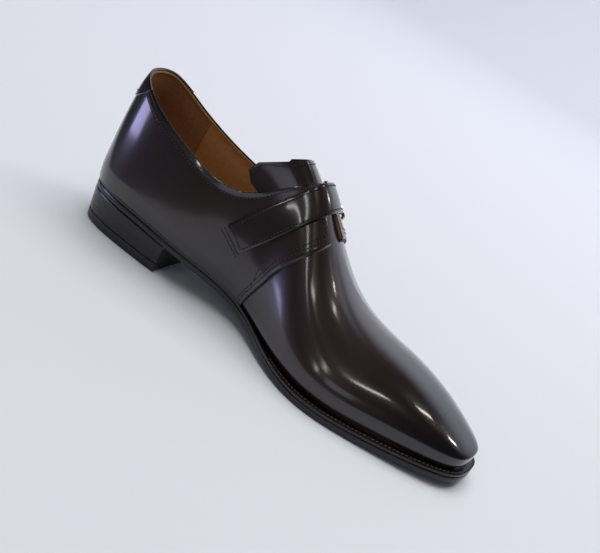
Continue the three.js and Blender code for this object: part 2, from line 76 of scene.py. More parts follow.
# along, half width (lateral), half width (medial), swell, crown, wall
OUTLINE = (
    (0.000, 0.000, 0.000, 0.004, 2.6, 2.8),
    (0.012, 0.180, 0.200, 0.010, 2.6, 2.8),
    (0.070, 0.246, 0.302, 0.018, 2.3, 2.6),
    (0.170, 0.266, 0.315, 0.022, 1.8, 2.3),
    (0.300, 0.362, 0.320, 0.035, 1.9, 2.1),
    (0.430, 0.406, 0.126, 0.050, 2.0, 1.9),
    (0.560, 0.485, 0.376, 0.042, 2.0, 1.8),
    (0.680, 0.510, 0.530, 0.028, 2.0, 1.9),
    (0.790, 0.450, 0.450, 0.020, 2.2, 2.0),
    (0.890, 0.310, 0.360, 0.015, 2.8, 2.4),
    (0.965, 0.190, 0.274, 0.010, 3.6, 2.9),
    (1.000, 0.090, 0.182, 0.010, 4.0, 3.2),
    (1.003, 0.000, 0.000, 0.010, 4.0, 3.2),
)

# lift, spring, crest, lean, girdle, ledge: one row per tenth of the length
PROFILE = np.array((
    (1.00, 0.00, 1.120, -0.180, 12.0, 0.18),
    (1.00, 0.00, 1.120, -0.180, 12.0, 0.20),
    (0.95, 0.00, 1.110, -0.140, 11.5, 0.22),
    (0.80, 0.00, 1.080, -0.070, 11.0, 0.18),
    (0.52, 0.00, 0.971, -0.020, 10.5, 0.20),
    (0.24, 0.00, 0.803, -0.040, 10.0, 0.45),
    (0.06, 0.00, 0.488, -0.040, 9.5, 1.05),
    (0.00, 0.00, 0.385, -0.030, 9.0, 1.05),
    (0.00, 0.22, 0.358, -0.020, 8.5, 1.04),
    (0.00, 0.60, 0.262, -0.020, 8.0, 1.00),
    (0.00, 1.10, 0.112, -0.020, 7.5, 0.78),
))

TOPLINE = (
    (-0.02, 1.024), (0.012, 1.002), (0.052, 0.944), (0.104, 0.877), (0.164, 0.818), (0.223, 0.768),
    (0.279, 0.733), (0.334, 0.735), (0.373, 0.790), (0.403, 0.866), (0.446, 0.972), (0.464, 1.040),
    (0.480, 1.120),
)
QUARTER_EDGE = (
    (0.446, 0.130), (0.454, 0.219), (0.460, 0.273), (0.472, 0.369), (0.483, 0.466), (0.503, 0.580),
    (0.526, 0.680), (0.538, 0.740), (0.543, 0.790), (0.545, 0.860),
)
TONGUE_EDGE = ((0.350, 0.775), (0.327, 0.858), (0.336, 0.922), (0.416, 1.064), (0.440, 1.150))
TAB_EDGE = ((-0.02, 0.800), (0.010, 0.822), (0.035, 0.868), (0.066, 0.945), (0.080, 1.000))


def pulls(share: Array) -> list[Array]:
    """Weights of the four rows of a cubic B-spline.

    Args:
        share: Place between the two middle rows, from 0 to 1.

    Returns:
        A weight for each of the four rows.
    """
    return [
        (1 - share) ** 3 / 6,
        (3 * share ** 3 - 6 * share ** 2 + 4) / 6,
        (-3 * share ** 3 + 3 * share ** 2 + 3 * share + 1) / 6,
        share ** 3 / 6,
    ]


def side_line(rows: SideView, steps: int = 240) -> Array:
    """A smooth side-view line through a table, in millimetres.

    Args:
        rows: Shares of the length and of the collar height.
        steps: How many pieces the line is cut into.

    Returns:
        Points as rows of x and z.
    """
    points = np.array(rows) * (LENGTH, COLLAR_HEIGHT)
    place = np.linspace(0, len(points) - 1, steps + 1)
    start = np.minimum(place.astype(int), len(points) - 2)
    f = (place - start)[:, None]
    before = points[np.maximum(start - 1, 0)]
    a, b = points[start], points[start + 1]
    after = points[np.minimum(start + 2, len(points) - 1)]
    v0, v1 = (b - before) / 2, (after - a) / 2
    return (2 * a - 2 * b + v0 + v1) * f ** 3 + (3 * b - 3 * a - 2 * v0 - v1) * f ** 2 + v0 * f + a


def travelled(points: Array) -> Array:
    """Distance along a line up to each of its points."""
    return np.concatenate([[0], np.cumsum(np.linalg.norm(np.diff(points, axis=0), axis=1))])


def read_off(line: Array, run: Array, wanted: Array) -> Array:
    """Places of a line at the wanted distances, run being the distance of each of its points."""
    return np.stack([np.interp(wanted, run, column) for column in line.T], -1)


def stitch_places(run: Array, pitch: float) -> Array:
    """Distances at which the stitches of a row lie, about a pitch apart."""
    count = max(2, int(run[-1] / pitch))
    return (np.arange(count) + 0.5) * run[-1] / count


def unit(vectors: Array) -> Array:
    """Directions with a length of one; what has no length keeps none."""
    return vectors / np.maximum(np.linalg.norm(vectors, axis=-1, keepdims=True), 1e-9)


def smoothstep(x: Array, low: Array | float, high: Array | float) -> Array:
    """Rises smoothly from 0 at low to 1 at high."""
    t = np.clip((np.asarray(x, float) - low) / (high - low), 0, 1)
    return t * t * (3 - 2 * t)


def over_line(points: Array, line: Array) -> Array:
    """Height of points over a side-view line."""
    return points[..., 2] - np.interp(points[..., 0], line[:, 0], line[:, 1])


def past_line(points: Array, line: Array) -> Array:
    """Distance of points past a side-view line, towards the toe."""
    return points[..., 0] - np.interp(points[..., 2], line[:, 1], line[:, 0])


def side_view_curve(rows: SideView, count: int) -> Array:
    """Points along a smooth side-view curve given in millimetres.

    Args:
        rows: Distances from the heel and heights.
        count: How many points are wanted.

    Returns:
        Points as rows of x and z, evenly spaced.
    """
    scaled = tuple((x / LENGTH, z / COLLAR_HEIGHT) for x, z in rows)
    line = side_line(scaled, 20 * len(rows))
    run = travelled(line)
    return read_off(line, run, np.linspace(0, run[-1], count))


@dataclass
class Last:
    """The wooden last that every piece of the upper and sole is shaped over.

    u runs round the outline from the heel along the lateral side, v from the feather edge at -1
    over the widest line at 0 to the crest at 1.
    """

    spine_start: float = 0.12 * LENGTH
    spine_end: float = 0.86 * LENGTH
    loop: Array = field(init=False)
    turn: int = field(init=False)
    toe: int = field(init=False)
    span: Array = field(init=False)
    origin: Array = field(init=False)

    def __post_init__(self) -> None:
        """Closes the outline and finds where the frame put the shoe's origin."""
        rows = np.array(OUTLINE)
        lateral = rows[:, [0, 1, 3, 4, 5]]
        medial = rows[:, [0, 2, 3, 4, 5]] * (1, -1, 1, 1, 1)
        self.loop = np.concatenate([lateral, medial[-2:0:-1]])
        self.turn = len(self.loop)
        self.toe = len(rows) - 1
        raw = self.rows_at(np.arange(0, self.turn, 1 / 16))
        self.span = np.array([raw[:, 0].min(), raw[:, 0].max(), raw[:, 1].max() - raw[:, 1].min()])
        self.origin = np.zeros(3)
        low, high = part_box("insole")
        edge = self.point(np.linspace(0, self.turn, 24 * 40), -1.0, -WALL - 0.3)
        middle = (edge.min(0) + edge.max(0)) / 2
        self.origin = np.array([middle[0] - (low[0] + high[0]) / 2 / MM,
                                middle[1] - (low[1] + high[1]) / 2 / MM, 0.0])

    def rows_at(self, u: Array) -> Array:
        """Blends the rows of the outline table.

        Args:
            u: Places round the outline.

        Returns:
            A blended row for each place.
        """
        start = np.floor(u).astype(int)
        weights = pulls((u - start)[..., None])
        return sum(w * self.loop[(start - 1 + k) % self.turn] for k, w in enumerate(weights))

    def plan(self, u: Array) -> tuple[Array, Array, Array, Array, Array]:
        """The outline seen from above, and the shape of the wall over it.

        Args:
            u: Places round the outline.

        Returns:
            Plan x and y, swell, crown and wall.
        """
        row = self.rows_at(u)
        x = (row[..., 0] - self.span[0]) / (self.span[1] - self.span[0]) * LENGTH
        y = row[..., 1] / self.span[2] * BALL_WIDTH
        return x, y, row[..., 2] * BALL_WIDTH, row[..., 3], row[..., 4]

    def outward(self, u: Array) -> tuple[Array, Array]:
        """The outline's outward direction in plan.

        Args:
            u: Places round the outline.

        Returns:
            Its x and y parts.
        """
        x0, y0, *_ = self.plan(u - 0.001)
        x1, y1, *_ = self.plan(u + 0.001)
        length = np.hypot(x1 - x0, y1 - y0)
        return -(y1 - y0) / length, (x1 - x0) / length

    def profile(self, x: Array, column: int) -> Array:
        """Blends one column of the side profile.

        Args:
            x: Distances from the heel.
            column: Which column of the table.

        Returns:
            Its value at each distance.
        """
        rows = PROFILE[:, column]
        count = len(rows) - 1
        place = np.clip(x / LENGTH, -0.05, 1.05) * count
        start = np.floor(place).astype(int)
        f = place - start
        total = np.zeros_like(place)
        for k, weight in enumerate(pulls(f)):
            index = start - 1 + k
            value = rows[np.clip(index, 0, count)]
            value = np.where(index < 0, 2 * rows[0] - rows[1], value)
            value = np.where(index > count, rows[-1] + (index - count) * (rows[-1] - rows[-2]), value)
            total = total + weight * value
        return total

    def footbed(self, x: Array) -> Array:
        """Height of the underside of the upper."""
        rise = self.profile(x, 0) * HEEL_RISE + self.profile(x, 1) * TOE_SPRING
        return SOLE_THICKNESS + np.maximum(0, rise - TREAD_FLAT)

    def ledge(self, x: Array) -> Array:
        """How far the welt stands out from the last."""
        return LEDGE * self.profile(x, 5)

    def point(self, u: Array, v: Array | float, out: Array | float = 0.0) -> Array:
        """Points on the last, in millimetres from the shoe's own origin.

        Args:
            u: Place round the outline.
            v: Place up the wall.
            out: Distance outside the vamp's face.

        Returns:
            Points with x, y and z in the last axis.
        """
        u, v, out = np.broadcast_arrays(np.asarray(u, float), np.asarray(v, float), np.asarray(out, float))
        px, py, swell, crown, wall = self.plan(u)
        nx, ny = self.outward(u)
        girdle = self.profile(px, 4)
        base = self.footbed(px)
        tuck = out + swell * (1 - np.minimum(v, 0) ** 2)
        low = np.stack([px + nx * tuck, py + ny * tuck, base + girdle * (1 + v)], -1)
        spine_x = self.spine_start + (self.spine_end - self.spine_start) * px / LENGTH
        spine_y = self.profile(spine_x, 3) * BALL_WIDTH
        turn = np.clip(v, 0, 1) * np.pi / 2
        across = np.maximum(np.cos(turn), 0) ** (2 / crown)
        up = np.sin(turn) ** (2 / wall)
        reach = out + swell
        x = spine_x + across * (px + nx * reach - spine_x)
        y = spine_y + across * (py + ny * reach - spine_y)
        crest = self.footbed(x) + self.profile(x, 2) * INSTEP_HEIGHT + out
        high = np.stack([x, y, base + girdle + (crest - base - girdle) * up], -1)
        return np.where((v < 0)[..., None], low, high) - self.origin

    def normal(self, u: Array, v: Array, out: Array | float = 0.0) -> Array:
        """Directions square to the last's surface.

        Args:
            u: Places round the outline.
            v: Places up the wall.
            out: Distance outside the vamp's face.

        Returns:
            Outward unit vectors.
        """
        v = np.clip(np.asarray(v, float), -0.995, 0.985)
        e = 0.004
        du = self.point(u + e, v, out) - self.point(u - e, v, out)
        dv = self.point(u, v + e, out) - self.point(u, v - e, out)
        return unit(np.cross(dv, du))

    def at_side(self, q: Array, side: int) -> Array:
        """Turns a place from heel to toe on one side into u."""
        return np.asarray(q, float) if side > 0 else self.turn - np.asarray(q, float)


def solve(test: Callable[[Array], Array], low: Array, high: Array, rounds: int = 34) -> Array:
    """Finds where a rising test crosses zero.

    Args:
        test: Gives a value for each place.
        low: Places under the crossing.
        high: Places over the crossing.
        rounds: How often the gap between them is halved.

    Returns:
        The places of the crossings.
    """
    low, high = np.array(low, float), np.array(high, float)
    for _ in range(rounds):
        middle = (low + high) / 2
        under = test(middle) < 0
        low = np.where(under, middle, low)
        high = np.where(under, high, middle)
    return (low + high) / 2


@dataclass
class Pattern:
    """The cutting pattern: where each panel of the upper ends on the last."""

    last: Last
    flare: float = 0.45 * THROAT_WIDTH
    slot_end: float = 0.545 * LENGTH + 1

    def __post_init__(self) -> None:
        """Draws the side-view lines and finds the corners of the quarter flaps."""
        self.top = side_line(TOPLINE)
        self.front = side_line(QUARTER_EDGE)
        self.tab = side_line(TAB_EDGE)
        self.tongue = np.array(TONGUE_EDGE) * (LENGTH, COLLAR_HEIGHT)
        self.flap_back = {side: self.meet_topline(side) for side in (1, -1)}
        self.flap_front = {side: self.meet_front(side) for side in (1, -1)}

    def seen(self, q: Array, v: Array, side: int, out: float = QUARTER_STEP) -> Array:
        """Points over the last, by their place on one side, measured from the last's heel."""
        return self.last.point(self.last.at_side(q, side), v, out) + self.last.origin

    def topline_v(self, q: Array, side: int) -> Array:
        """Where the topline crosses each line up the wall."""
        q = np.asarray(q, float)
        return solve(lambda v: over_line(self.seen(q, v, side), self.top), np.zeros_like(q), np.ones_like(q))

    def slot_half(self, x: Array) -> Array:
        """Half the width of the slot between the flaps, which flares out at its front end."""
        reach = np.clip((x - (self.slot_end - self.flare)) / self.flare, 0, 1)
        return THROAT_WIDTH / 2 + self.flare * (1 - np.sqrt(1 - np.minimum(reach, 0.9999) ** 2))

    def slot_v(self, q: Array, side: int) -> Array:
        """Where the slot's edge crosses each line up the wall.

        Args:
            q: Places from heel to toe.
            side: 1 for the lateral side, -1 for the medial side.

        Returns:
            Places up the wall.
        """
        q = np.asarray(q, float)
        middle = float(self.last.profile(np.array(STRAP_CREST[0]), 3)) * BALL_WIDTH

        def inside(v: Array) -> Array:
            """How far each point lies inside the slot."""
            p = self.seen(q, v, side)
            return self.slot_half(p[..., 0]) - np.abs(p[..., 1] - middle)

        return solve(inside, np.full_like(q, 0.3), np.ones_like(q))

    def front_q(self, v: Array, side: int) -> Array:
        """Where the quarter's front edge crosses each line along the foot."""
        v = np.asarray(v, float)
        return solve(lambda q: past_line(self.seen(q, v, side), self.front),
                     np.full_like(v, 3.0), np.full_like(v, float(self.last.toe)))

    def meet_topline(self, side: int) -> float:
        """Finds the upper corner of a flap, where the topline meets the slot.

        Args:
            side: 1 for the lateral side, -1 for the medial side.

        Returns:
            Its place from heel to toe.
        """
        q = np.linspace(3.5, 8.5, 800)
        gap = self.slot_v(q, side) - self.topline_v(q, side)
        return float(q[np.argmax(gap < 0)])

    def meet_front(self, side: int) -> float:
        """Finds the lower corner of a flap, where the front edge meets the slot.

        Args:
            side: 1 for the lateral side, -1 for the medial side.

        Returns:
            Its place from heel to toe.
        """
        v = np.array([0.85])
        for _ in range(25):
            q = self.front_q(v, side)
            v = 0.5 * v + 0.5 * self.slot_v(q, side)
        return float(q[0])

    def place(self, x: Array, z: Array, side: int, out: float = QUARTER_STEP) -> Array:
        """Places whose side view is x and z, in millimetres from the last's heel.

        Args:
            x: Distances from the heel.
            z: Heights.
            side: 1 for the lateral side, -1 for the medial side.
            out: Height over the vamp.

        Returns:
            Places as rows of u and v.
        """
        x, z = np.asarray(x, float), np.asarray(z, float)
        v = np.full_like(x, 0.3)
        for _ in range(9):
            q = solve(lambda k: self.seen(k, v, side, out)[..., 0] - x,
                      np.zeros_like(x), np.full_like(x, float(self.last.toe)), 24)
            v = solve(lambda k: self.seen(q, k, side, out)[..., 2] - z,
                      np.full_like(x, -1.0), np.ones_like(x), 24)
        return np.stack([self.last.at_side(q, side), v], -1)

    def quarter_top(self, q: Array, side: int) -> Array:
        """Upper edge of a quarter: the topline, then the slot."""
        return np.where(q < self.flap_back[side], self.topline_v(q, side), self.slot_v(q, side))


def panel_grid(bottom: Array, top: Array, left: Array, right: Array) -> Array:
    """Fills a patch of (u, v) places between four edges.

    Args:
        bottom: Places along the lower edge, m by 2.
        top: Places along the upper edge, m by 2.
        left: Places up the left edge, n by 2.
        right: Places up the right edge, n by 2.

    Returns:
        Places in an m by n by 2 array.
    """
    s = np.linspace(0, 1, len(bottom))[:, None, None]
    t = np.linspace(0, 1, len(left))[None, :, None]
    flat = (1 - t) * bottom[:, None] + t * top[:, None] + (1 - s) * left[None] + s * right[None]
    corners = ((1 - s) * (1 - t) * bottom[0] + s * (1 - t) * bottom[-1]
               + (1 - s) * t * top[0] + s * t * top[-1])
    return flat - corners


def evenly(line: Array, count: int, last: Last, out: float) -> Array:
    """Spaces the places of a line evenly by their real distance on the last.

    Args:
        line: Places as rows of u and v.
        count: How many places are wanted.
        last: The last they lie on.
        out: Distance outside the vamp's face.

    Returns:
        The new places.
    """
    run = travelled(last.point(line[:, 0], line[:, 1], out))
    return read_off(line, run, np.linspace(0, run[-1], count))


def new_object(name: str, data: bpy.types.ID) -> bpy.types.Object:
    """Makes an object and links it to the scene.

    Args:
        name: Its name.
        data: Its mesh, lamp or camera.

    Returns:
        The object.
    """
    thing = bpy.data.objects.new(name, data)
    bpy.context.scene.collection.objects.link(thing)
    return thing


class Draft:
    """Collects the vertices and faces of one piece, in millimetres."""

    def __init__(self) -> None:
        """Starts with nothing."""
        self.points: list[Array] = []
        self.faces: list[tuple[int, ...]] = []
        self.values: list[Array] = []
        self.count = 0

    def add(self, points: Array, value: Array | float = 0.0) -> Array:
        """Adds vertices.

        Args:
            points: Points with x, y and z in the last axis.
            value: How dark the leather is there, from 0 to 1: its burnish, with painted shade low on the
                waist.

        Returns:
            The vertices' numbers, laid out as the points are.
        """
        flat = points.reshape(-1, 3)
        numbers = self.count + np.arange(len(flat)).reshape(points.shape[:-1])
        self.points.append(flat)
        self.values.append(np.broadcast_to(np.asarray(value, float), points.shape[:-1]).reshape(-1))
        self.count += len(flat)
        return numbers

    def weave(self, numbers: Array, wrap: bool = False) -> None:
        """Covers a grid of vertices with four-sided faces.

        Args:
            numbers: Their numbers, in rows.
            wrap: Whether the last row joins the first.
        """
        rows = np.concatenate([numbers, numbers[:1]]) if wrap else numbers
        a, b, c, d = rows[:-1, :-1], rows[1:, :-1], rows[1:, 1:], rows[:-1, 1:]
        quads = np.stack([a, b, c, d], -1).reshape(-1, 4)
        self.faces.extend(map(tuple, quads.tolist()))

    def make(self, name: str, smooth: float = 35.0) -> bpy.types.Object:
        """Makes the closed mesh object, with vertices merged and faces turned outwards.

        Args:
            name: Name of the piece.
            smooth: Edges sharper than this many degrees stay sharp.

        Returns:
            The object, linked to the scene, with no material yet.
        """
        mesh = bpy.data.meshes.new(name)
        points = np.concatenate(self.points) * MM
        mesh.from_pydata(points.tolist(), [], self.faces)
        # Darkness for the calf's colour: burnish, with painted shade low on the waist.
        layer = mesh.attributes.new("burnish_and_shade", "FLOAT", "POINT")
        layer.data.foreach_set("value", np.concatenate(self.values).astype(np.float32))
        work = bmesh.new()
        work.from_mesh(mesh)
        bmesh.ops.remove_doubles(work, verts=work.verts, dist=2e-6)
        bmesh.ops.dissolve_degenerate(work, edges=work.edges, dist=1e-7)
        bmesh.ops.recalc_face_normals(work, faces=work.faces)
        work.to_mesh(mesh)
        work.free()
        mesh.shade_smooth()
        mesh.set_sharp_from_angle(angle=math.radians(smooth))
        return new_object(name, mesh)


def border(m: int, n: int, joined: bool = False) -> tuple[tuple[Array, Array], tuple[Array, Array]]:
    """Goes round the edge of a grid of m by n places.

    Args:
        m: Rows of the grid.
        n: Columns of the grid.
        joined: Whether the last column meets itself, so that it has no edge.

    Returns:
        Rows and columns of the places on the edge, and of their neighbours one step inside.
    """
    ends = [(m - 1, k) for k in range(1, n)]
    if joined:
        index = [(0, k) for k in range(n - 1, 0, -1)] + [(k, 0) for k in range(m)] + ends
    else:
        index = ([(k, 0) for k in range(m)] + ends
                 + [(k, n - 1) for k in range(m - 2, -1, -1)] + [(0, k) for k in range(n - 2, 0, -1)])
    i, j = np.array(index).T
    return (i, j), (np.clip(i, 1, m - 2), np.clip(j, 1, n - 2))


def skin(last: Last, places: Array, out: Array | float, base: Array | float, rim: float,
         burnish_and_shade: Callable[[Array], Array] | None = None, joined: bool = False, eased: int = 0) -> Draft:
    """Builds a leather panel with rounded edges over a grid of places on the last.

    Args:
        last: The last it lies on.
        places: m by n by 2 places.
        out: Height of its face.
        base: Height of its back.
        rim: Radius of its edge.
        burnish_and_shade: Gives each point of the face its darkness from 0 to 1: burnish, and painted shade
            low on the waist.
        joined: Whether the side at the crest meets itself, so that it has no edge.
        eased: Rounds of smoothing along the outline.

    Returns:
        The draft of a closed body.
    """
    u, v = places[..., 0], places[..., 1]
    face = last.point(u, v, out)
    back = last.point(u, v, base)
    for _ in range(eased):
        for sheet in (face, back):
            sheet[1:-1] = (sheet[:-2] + 2 * sheet[1:-1] + sheet[2:]) / 4
    value = burnish_and_shade(face) if burnish_and_shade else np.zeros(u.shape)
    draft = Draft()
    top = draft.add(face, value)
    low = draft.add(back, value)
    draft.weave(top)
    draft.weave(low[::-1])
    edge_at, inner_at = border(*u.shape, joined)
    edge, edge_back = face[edge_at], back[edge_at]
    normal = unit(edge - edge_back)
    along = np.gradient(edge, axis=0) if joined else np.roll(edge, -1, 0) - np.roll(edge, 1, 0)
    away = np.cross(along, normal)
    flip = np.sign(((edge - face[inner_at]) * away).sum(1, keepdims=True))
    away = unit(away * np.where(flip == 0, 1, flip))
    darker = np.minimum(value[edge_at] + 0.5, 1)
    rings = [top[edge_at]]
    for degrees in (22.5, 45, 67.5, 90):
        angle = math.radians(degrees)
        ring = edge + away * rim * math.sin(angle) - normal * rim * (1 - math.cos(angle))
        rings.append(draft.add(ring, darker))
    rings.append(draft.add(edge_back + away * rim, darker))
    rings.append(low[edge_at])
    draft.weave(np.array(rings).T, wrap=not joined)
    return draft


class Side(Enum):
    """The two sides of the foot."""

    LATERAL = 1
    MEDIAL = -1


def hex_colour(text: str) -> tuple[float, float, float, float]:
    """Turns an sRGB hex colour into linear values.

    Args:
        text: The colour, as in #aabbcc.

    Returns:
        Linear red, green and blue, and an alpha of one.
    """
    raw = [int(text[k:k + 2], 16) / 255 for k in (1, 3, 5)]
    linear = [c / 12.92 if c <= 0.04045 else ((c + 0.055) / 1.055) ** 2.4 for c in raw]
    return (*linear, 1.0)


def add_node(tree: bpy.types.NodeTree, kind: str, settings: dict | None = None,
             links: dict | None = None) -> bpy.types.Node:
    """Adds a node with its settings and links.

    Args:
        tree: The tree that it goes in.
        kind: The node's type name.
        settings: Attributes by name, or input values by socket name or number.
        links: Output sockets by the name or number of the input they feed.

    Returns:
        The node.
    """
    node = tree.nodes.new(kind)
    for key, value in (settings or {}).items():
        if isinstance(key, str) and hasattr(node, key):
            setattr(node, key, value)
        else:
            node.inputs[key].default_value = value
    for key, socket in (links or {}).items():
        tree.links.new(socket, node.inputs[key])
    return node


def shader(name: str) -> tuple[bpy.types.Material, bpy.types.NodeTree, bpy.types.Node]:
    """Makes a material.

    Args:
        name: Its name.

    Returns:
        The material, its tree and its Principled shader.
    """
    material = bpy.data.materials.new(name)
    material.use_nodes = True
    tree = material.node_tree
    return material, tree, tree.nodes["Principled BSDF"]


def object_coordinates(tree: bpy.types.NodeTree) -> bpy.types.NodeSocket:
    """Object coordinates, in metres."""
    return add_node(tree, "ShaderNodeTexCoord").outputs["Object"]


@dataclass(frozen=True)
class Calf:
    """Box calf, hand burnished and waxed.

    The eye gets a dark brown that fades to black where the wax was worked in and where shade is
    painted low on the waist, a fine grain, and over both a hard wax film, which mirrors lamps
    sharply on the toe and softly on the instep.
    """

    name: str = "burnished_box_calf"
    light: str = "#261913"
    dark: str = "#060504"
    cloud_mm: float = 22.0
    grain_mm: float = 0.55
    roughness: tuple[float, float] = (0.26, 0.34)
    film: tuple[float, float] = (0.035, 0.15)
    film_weight: float = 0.95
    grain_depth_mm: float = 0.012
    index: float = 1.5
    sheen: float = 0.3
    mottle: float = 0.12

    def build(self) -> bpy.types.Material:
        """Makes the material: colour runs from brown to near black with the attribute that holds the burnish
        and the painted shade on the waist.

        Returns:
            The material.
        """
        material, tree, principled = shader(self.name)
        place = object_coordinates(tree)
        # Darkness from the mesh: burnish, and painted shade low on the waist.
        burnish_and_shade = add_node(tree, "ShaderNodeAttribute", {"attribute_name": "burnish_and_shade"})
        cloud = add_node(tree, "ShaderNodeTexNoise",
                         {"Scale": 1000 / self.cloud_mm, "Detail": 3.0}, {"Vector": place})
        mottled = add_node(tree, "ShaderNodeMapRange",
                           {"From Min": 0.3, "From Max": 0.7, "To Min": -self.mottle, "To Max": self.mottle},
                           {"Value": cloud.outputs["Fac"]})
        total = add_node(tree, "ShaderNodeMath", {"operation": "ADD", "use_clamp": True},
                         {0: burnish_and_shade.outputs["Fac"], 1: mottled.outputs["Result"]})
        ramp = add_node(tree, "ShaderNodeValToRGB", {}, {"Fac": total.outputs[0]})
        ramp.color_ramp.elements[0].color = hex_colour(self.light)
        ramp.color_ramp.elements[1].color = hex_colour(self.dark)
        tree.links.new(ramp.outputs["Color"], principled.inputs["Base Color"])
        rough = add_node(tree, "ShaderNodeMapRange",
                         {"To Min": self.roughness[1], "To Max": self.roughness[0]},
                         {"Value": burnish_and_shade.outputs["Fac"]})
        tree.links.new(rough.outputs["Result"], principled.inputs["Roughness"])
        grain = add_node(tree, "ShaderNodeTexVoronoi",
                         {"feature": "SMOOTH_F1", "Scale": 1000 / self.grain_mm, "Smoothness": 0.6},
                         {"Vector": place})
        bump = add_node(tree, "ShaderNodeBump", {"Strength": 0.5, "Distance": self.grain_depth_mm * MM},
                        {"Height": grain.outputs["Distance"]})
        tree.links.new(bump.outputs["Normal"], principled.inputs["Normal"])
        principled.inputs["IOR"].default_value = self.index
        principled.inputs["Specular IOR Level"].default_value = self.sheen
        principled.inputs["Coat Weight"].default_value = self.film_weight
        film = add_node(tree, "ShaderNodeMapRange",
                        {"To Min": self.film[1], "To Max": self.film[0]}, {"Value": burnish_and_shade.outputs["Fac"]})
        tree.links.new(film.outputs["Result"], principled.inputs["Coat Roughness"])
        return material


@dataclass(frozen=True)
class PlainFinish:
    """A dressed or matt surface with one colour and a slight mottle."""

    name: str
    colour: str
    second: str
    roughness: float
    mottle_mm: float = 6.0
    bump_mm: float = 0.02
    metallic: float = 0.0

    def build(self) -> bpy.types.Material:
        """Makes the material.

        Returns:
            The material.
        """
        material, tree, principled = shader(self.name)
        place = object_coordinates(tree)
        noise = add_node(tree, "ShaderNodeTexNoise", {"Scale": 1000 / self.mottle_mm, "Detail": 5.0},
                         {"Vector": place})
        ramp = add_node(tree, "ShaderNodeValToRGB", {}, {"Fac": noise.outputs["Fac"]})
        ramp.color_ramp.elements[0].position = 0.35
        ramp.color_ramp.elements[1].position = 0.65
        ramp.color_ramp.elements[0].color = hex_colour(self.colour)
        ramp.color_ramp.elements[1].color = hex_colour(self.second)
        tree.links.new(ramp.outputs["Color"], principled.inputs["Base Color"])
        principled.inputs["Roughness"].default_value = self.roughness
        principled.inputs["Metallic"].default_value = self.metallic
        if self.bump_mm:
            bump = add_node(tree, "ShaderNodeBump", {"Strength": 0.4, "Distance": self.bump_mm * MM},
                            {"Height": noise.outputs["Fac"]})
            tree.links.new(bump.outputs["Normal"], principled.inputs["Normal"])
        return material


def plain(*values: str | float, **sizes: float) -> bpy.types.Material:
    """A field that makes a plain finish when the finishes are made."""
    return field(default_factory=lambda: PlainFinish(*values, **sizes).build())


@dataclass
class Finishes:
    """Every finish on the shoe, made once."""

    calf: bpy.types.Material = field(default_factory=lambda: Calf().build())
    # Vegetable tanned goat, brushed: warm tan, matt, with a soft nap.
    lining: bpy.types.Material = plain("tan_lining_goat", "#ad7b47", "#a1713f", 0.62, mottle_mm=3.0,
                                       bump_mm=0.05)
    # The same leather with its suede side out: darker and without any shine.
    grip: bpy.types.Material = plain("heel_grip_suede", "#8c5f38", "#7d5330", 0.85, mottle_mm=1.5,
                                     bump_mm=0.08)
    # Ink and hard wax ironed into cut leather: black, smooth, with a low shine.
    edge: bpy.types.Material = plain("inked_leather_edge", "#14100e", "#0c0a09", 0.28, mottle_mm=2.5)
    # Moulded rubber: a duller black than the leather over it.
    rubber: bpy.types.Material = plain("moulded_heel_rubber", "#14110f", "#110e0d", 0.4, mottle_mm=1.0)
    # Waxed linen, dyed to match the calf: each stitch catches a small light.
    thread: bpy.types.Material = plain("waxed_linen_thread", "#3d2f29", "#2e2420", 0.28, mottle_mm=0.8,
                                       bump_mm=0.0)
    # The welt's heavier thread is left paler, so that its row reads as dots.
    welt_thread: bpy.types.Material = plain("waxed_welt_thread", "#6a5f58", "#564c46", 0.35, mottle_mm=0.8,
                                            bump_mm=0.0)
    # The raw middle of the leather, seen where a thick edge was left undyed.
    core: bpy.types.Material = plain("raw_leather_core", "#8a5d3e", "#784e32", 0.7, mottle_mm=1.5)
    # Painted shade: each awl hole is a dark matt body that stands in for the shade inside it.
    hole_shade: bpy.types.Material = plain("dark_awl_holes", "#050404", "#040303", 0.8, bump_mm=0.0)
    # Pale gold plate over brass, polished by hand: it mirrors the room in warm tones.
    gilt: bpy.types.Material = plain("pale_gold_plated_brass", "#e8d9ae", "#e2d0a0", 0.16, mottle_mm=4.0,
                                     bump_mm=0.0, metallic=1.0)


def dress(piece: bpy.types.Object, material: bpy.types.Material, slot: str, *nodes: str) -> bpy.types.Object:
    """Gives a piece its finish and its body, and hides the solids it stands for.

    Args:
        piece: The object.
        material: Its finish.
        slot: Not used.
        nodes: Names of the CAD nodes that it replaces.

    Returns:
        The same object.
    """
    piece.data.materials.clear()
    piece.data.materials.append(material)
    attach(piece, "root")
    if nodes:
        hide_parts(*nodes)
    log.info("%s: %d faces", piece.name, len(piece.data.polygons))
    return piece


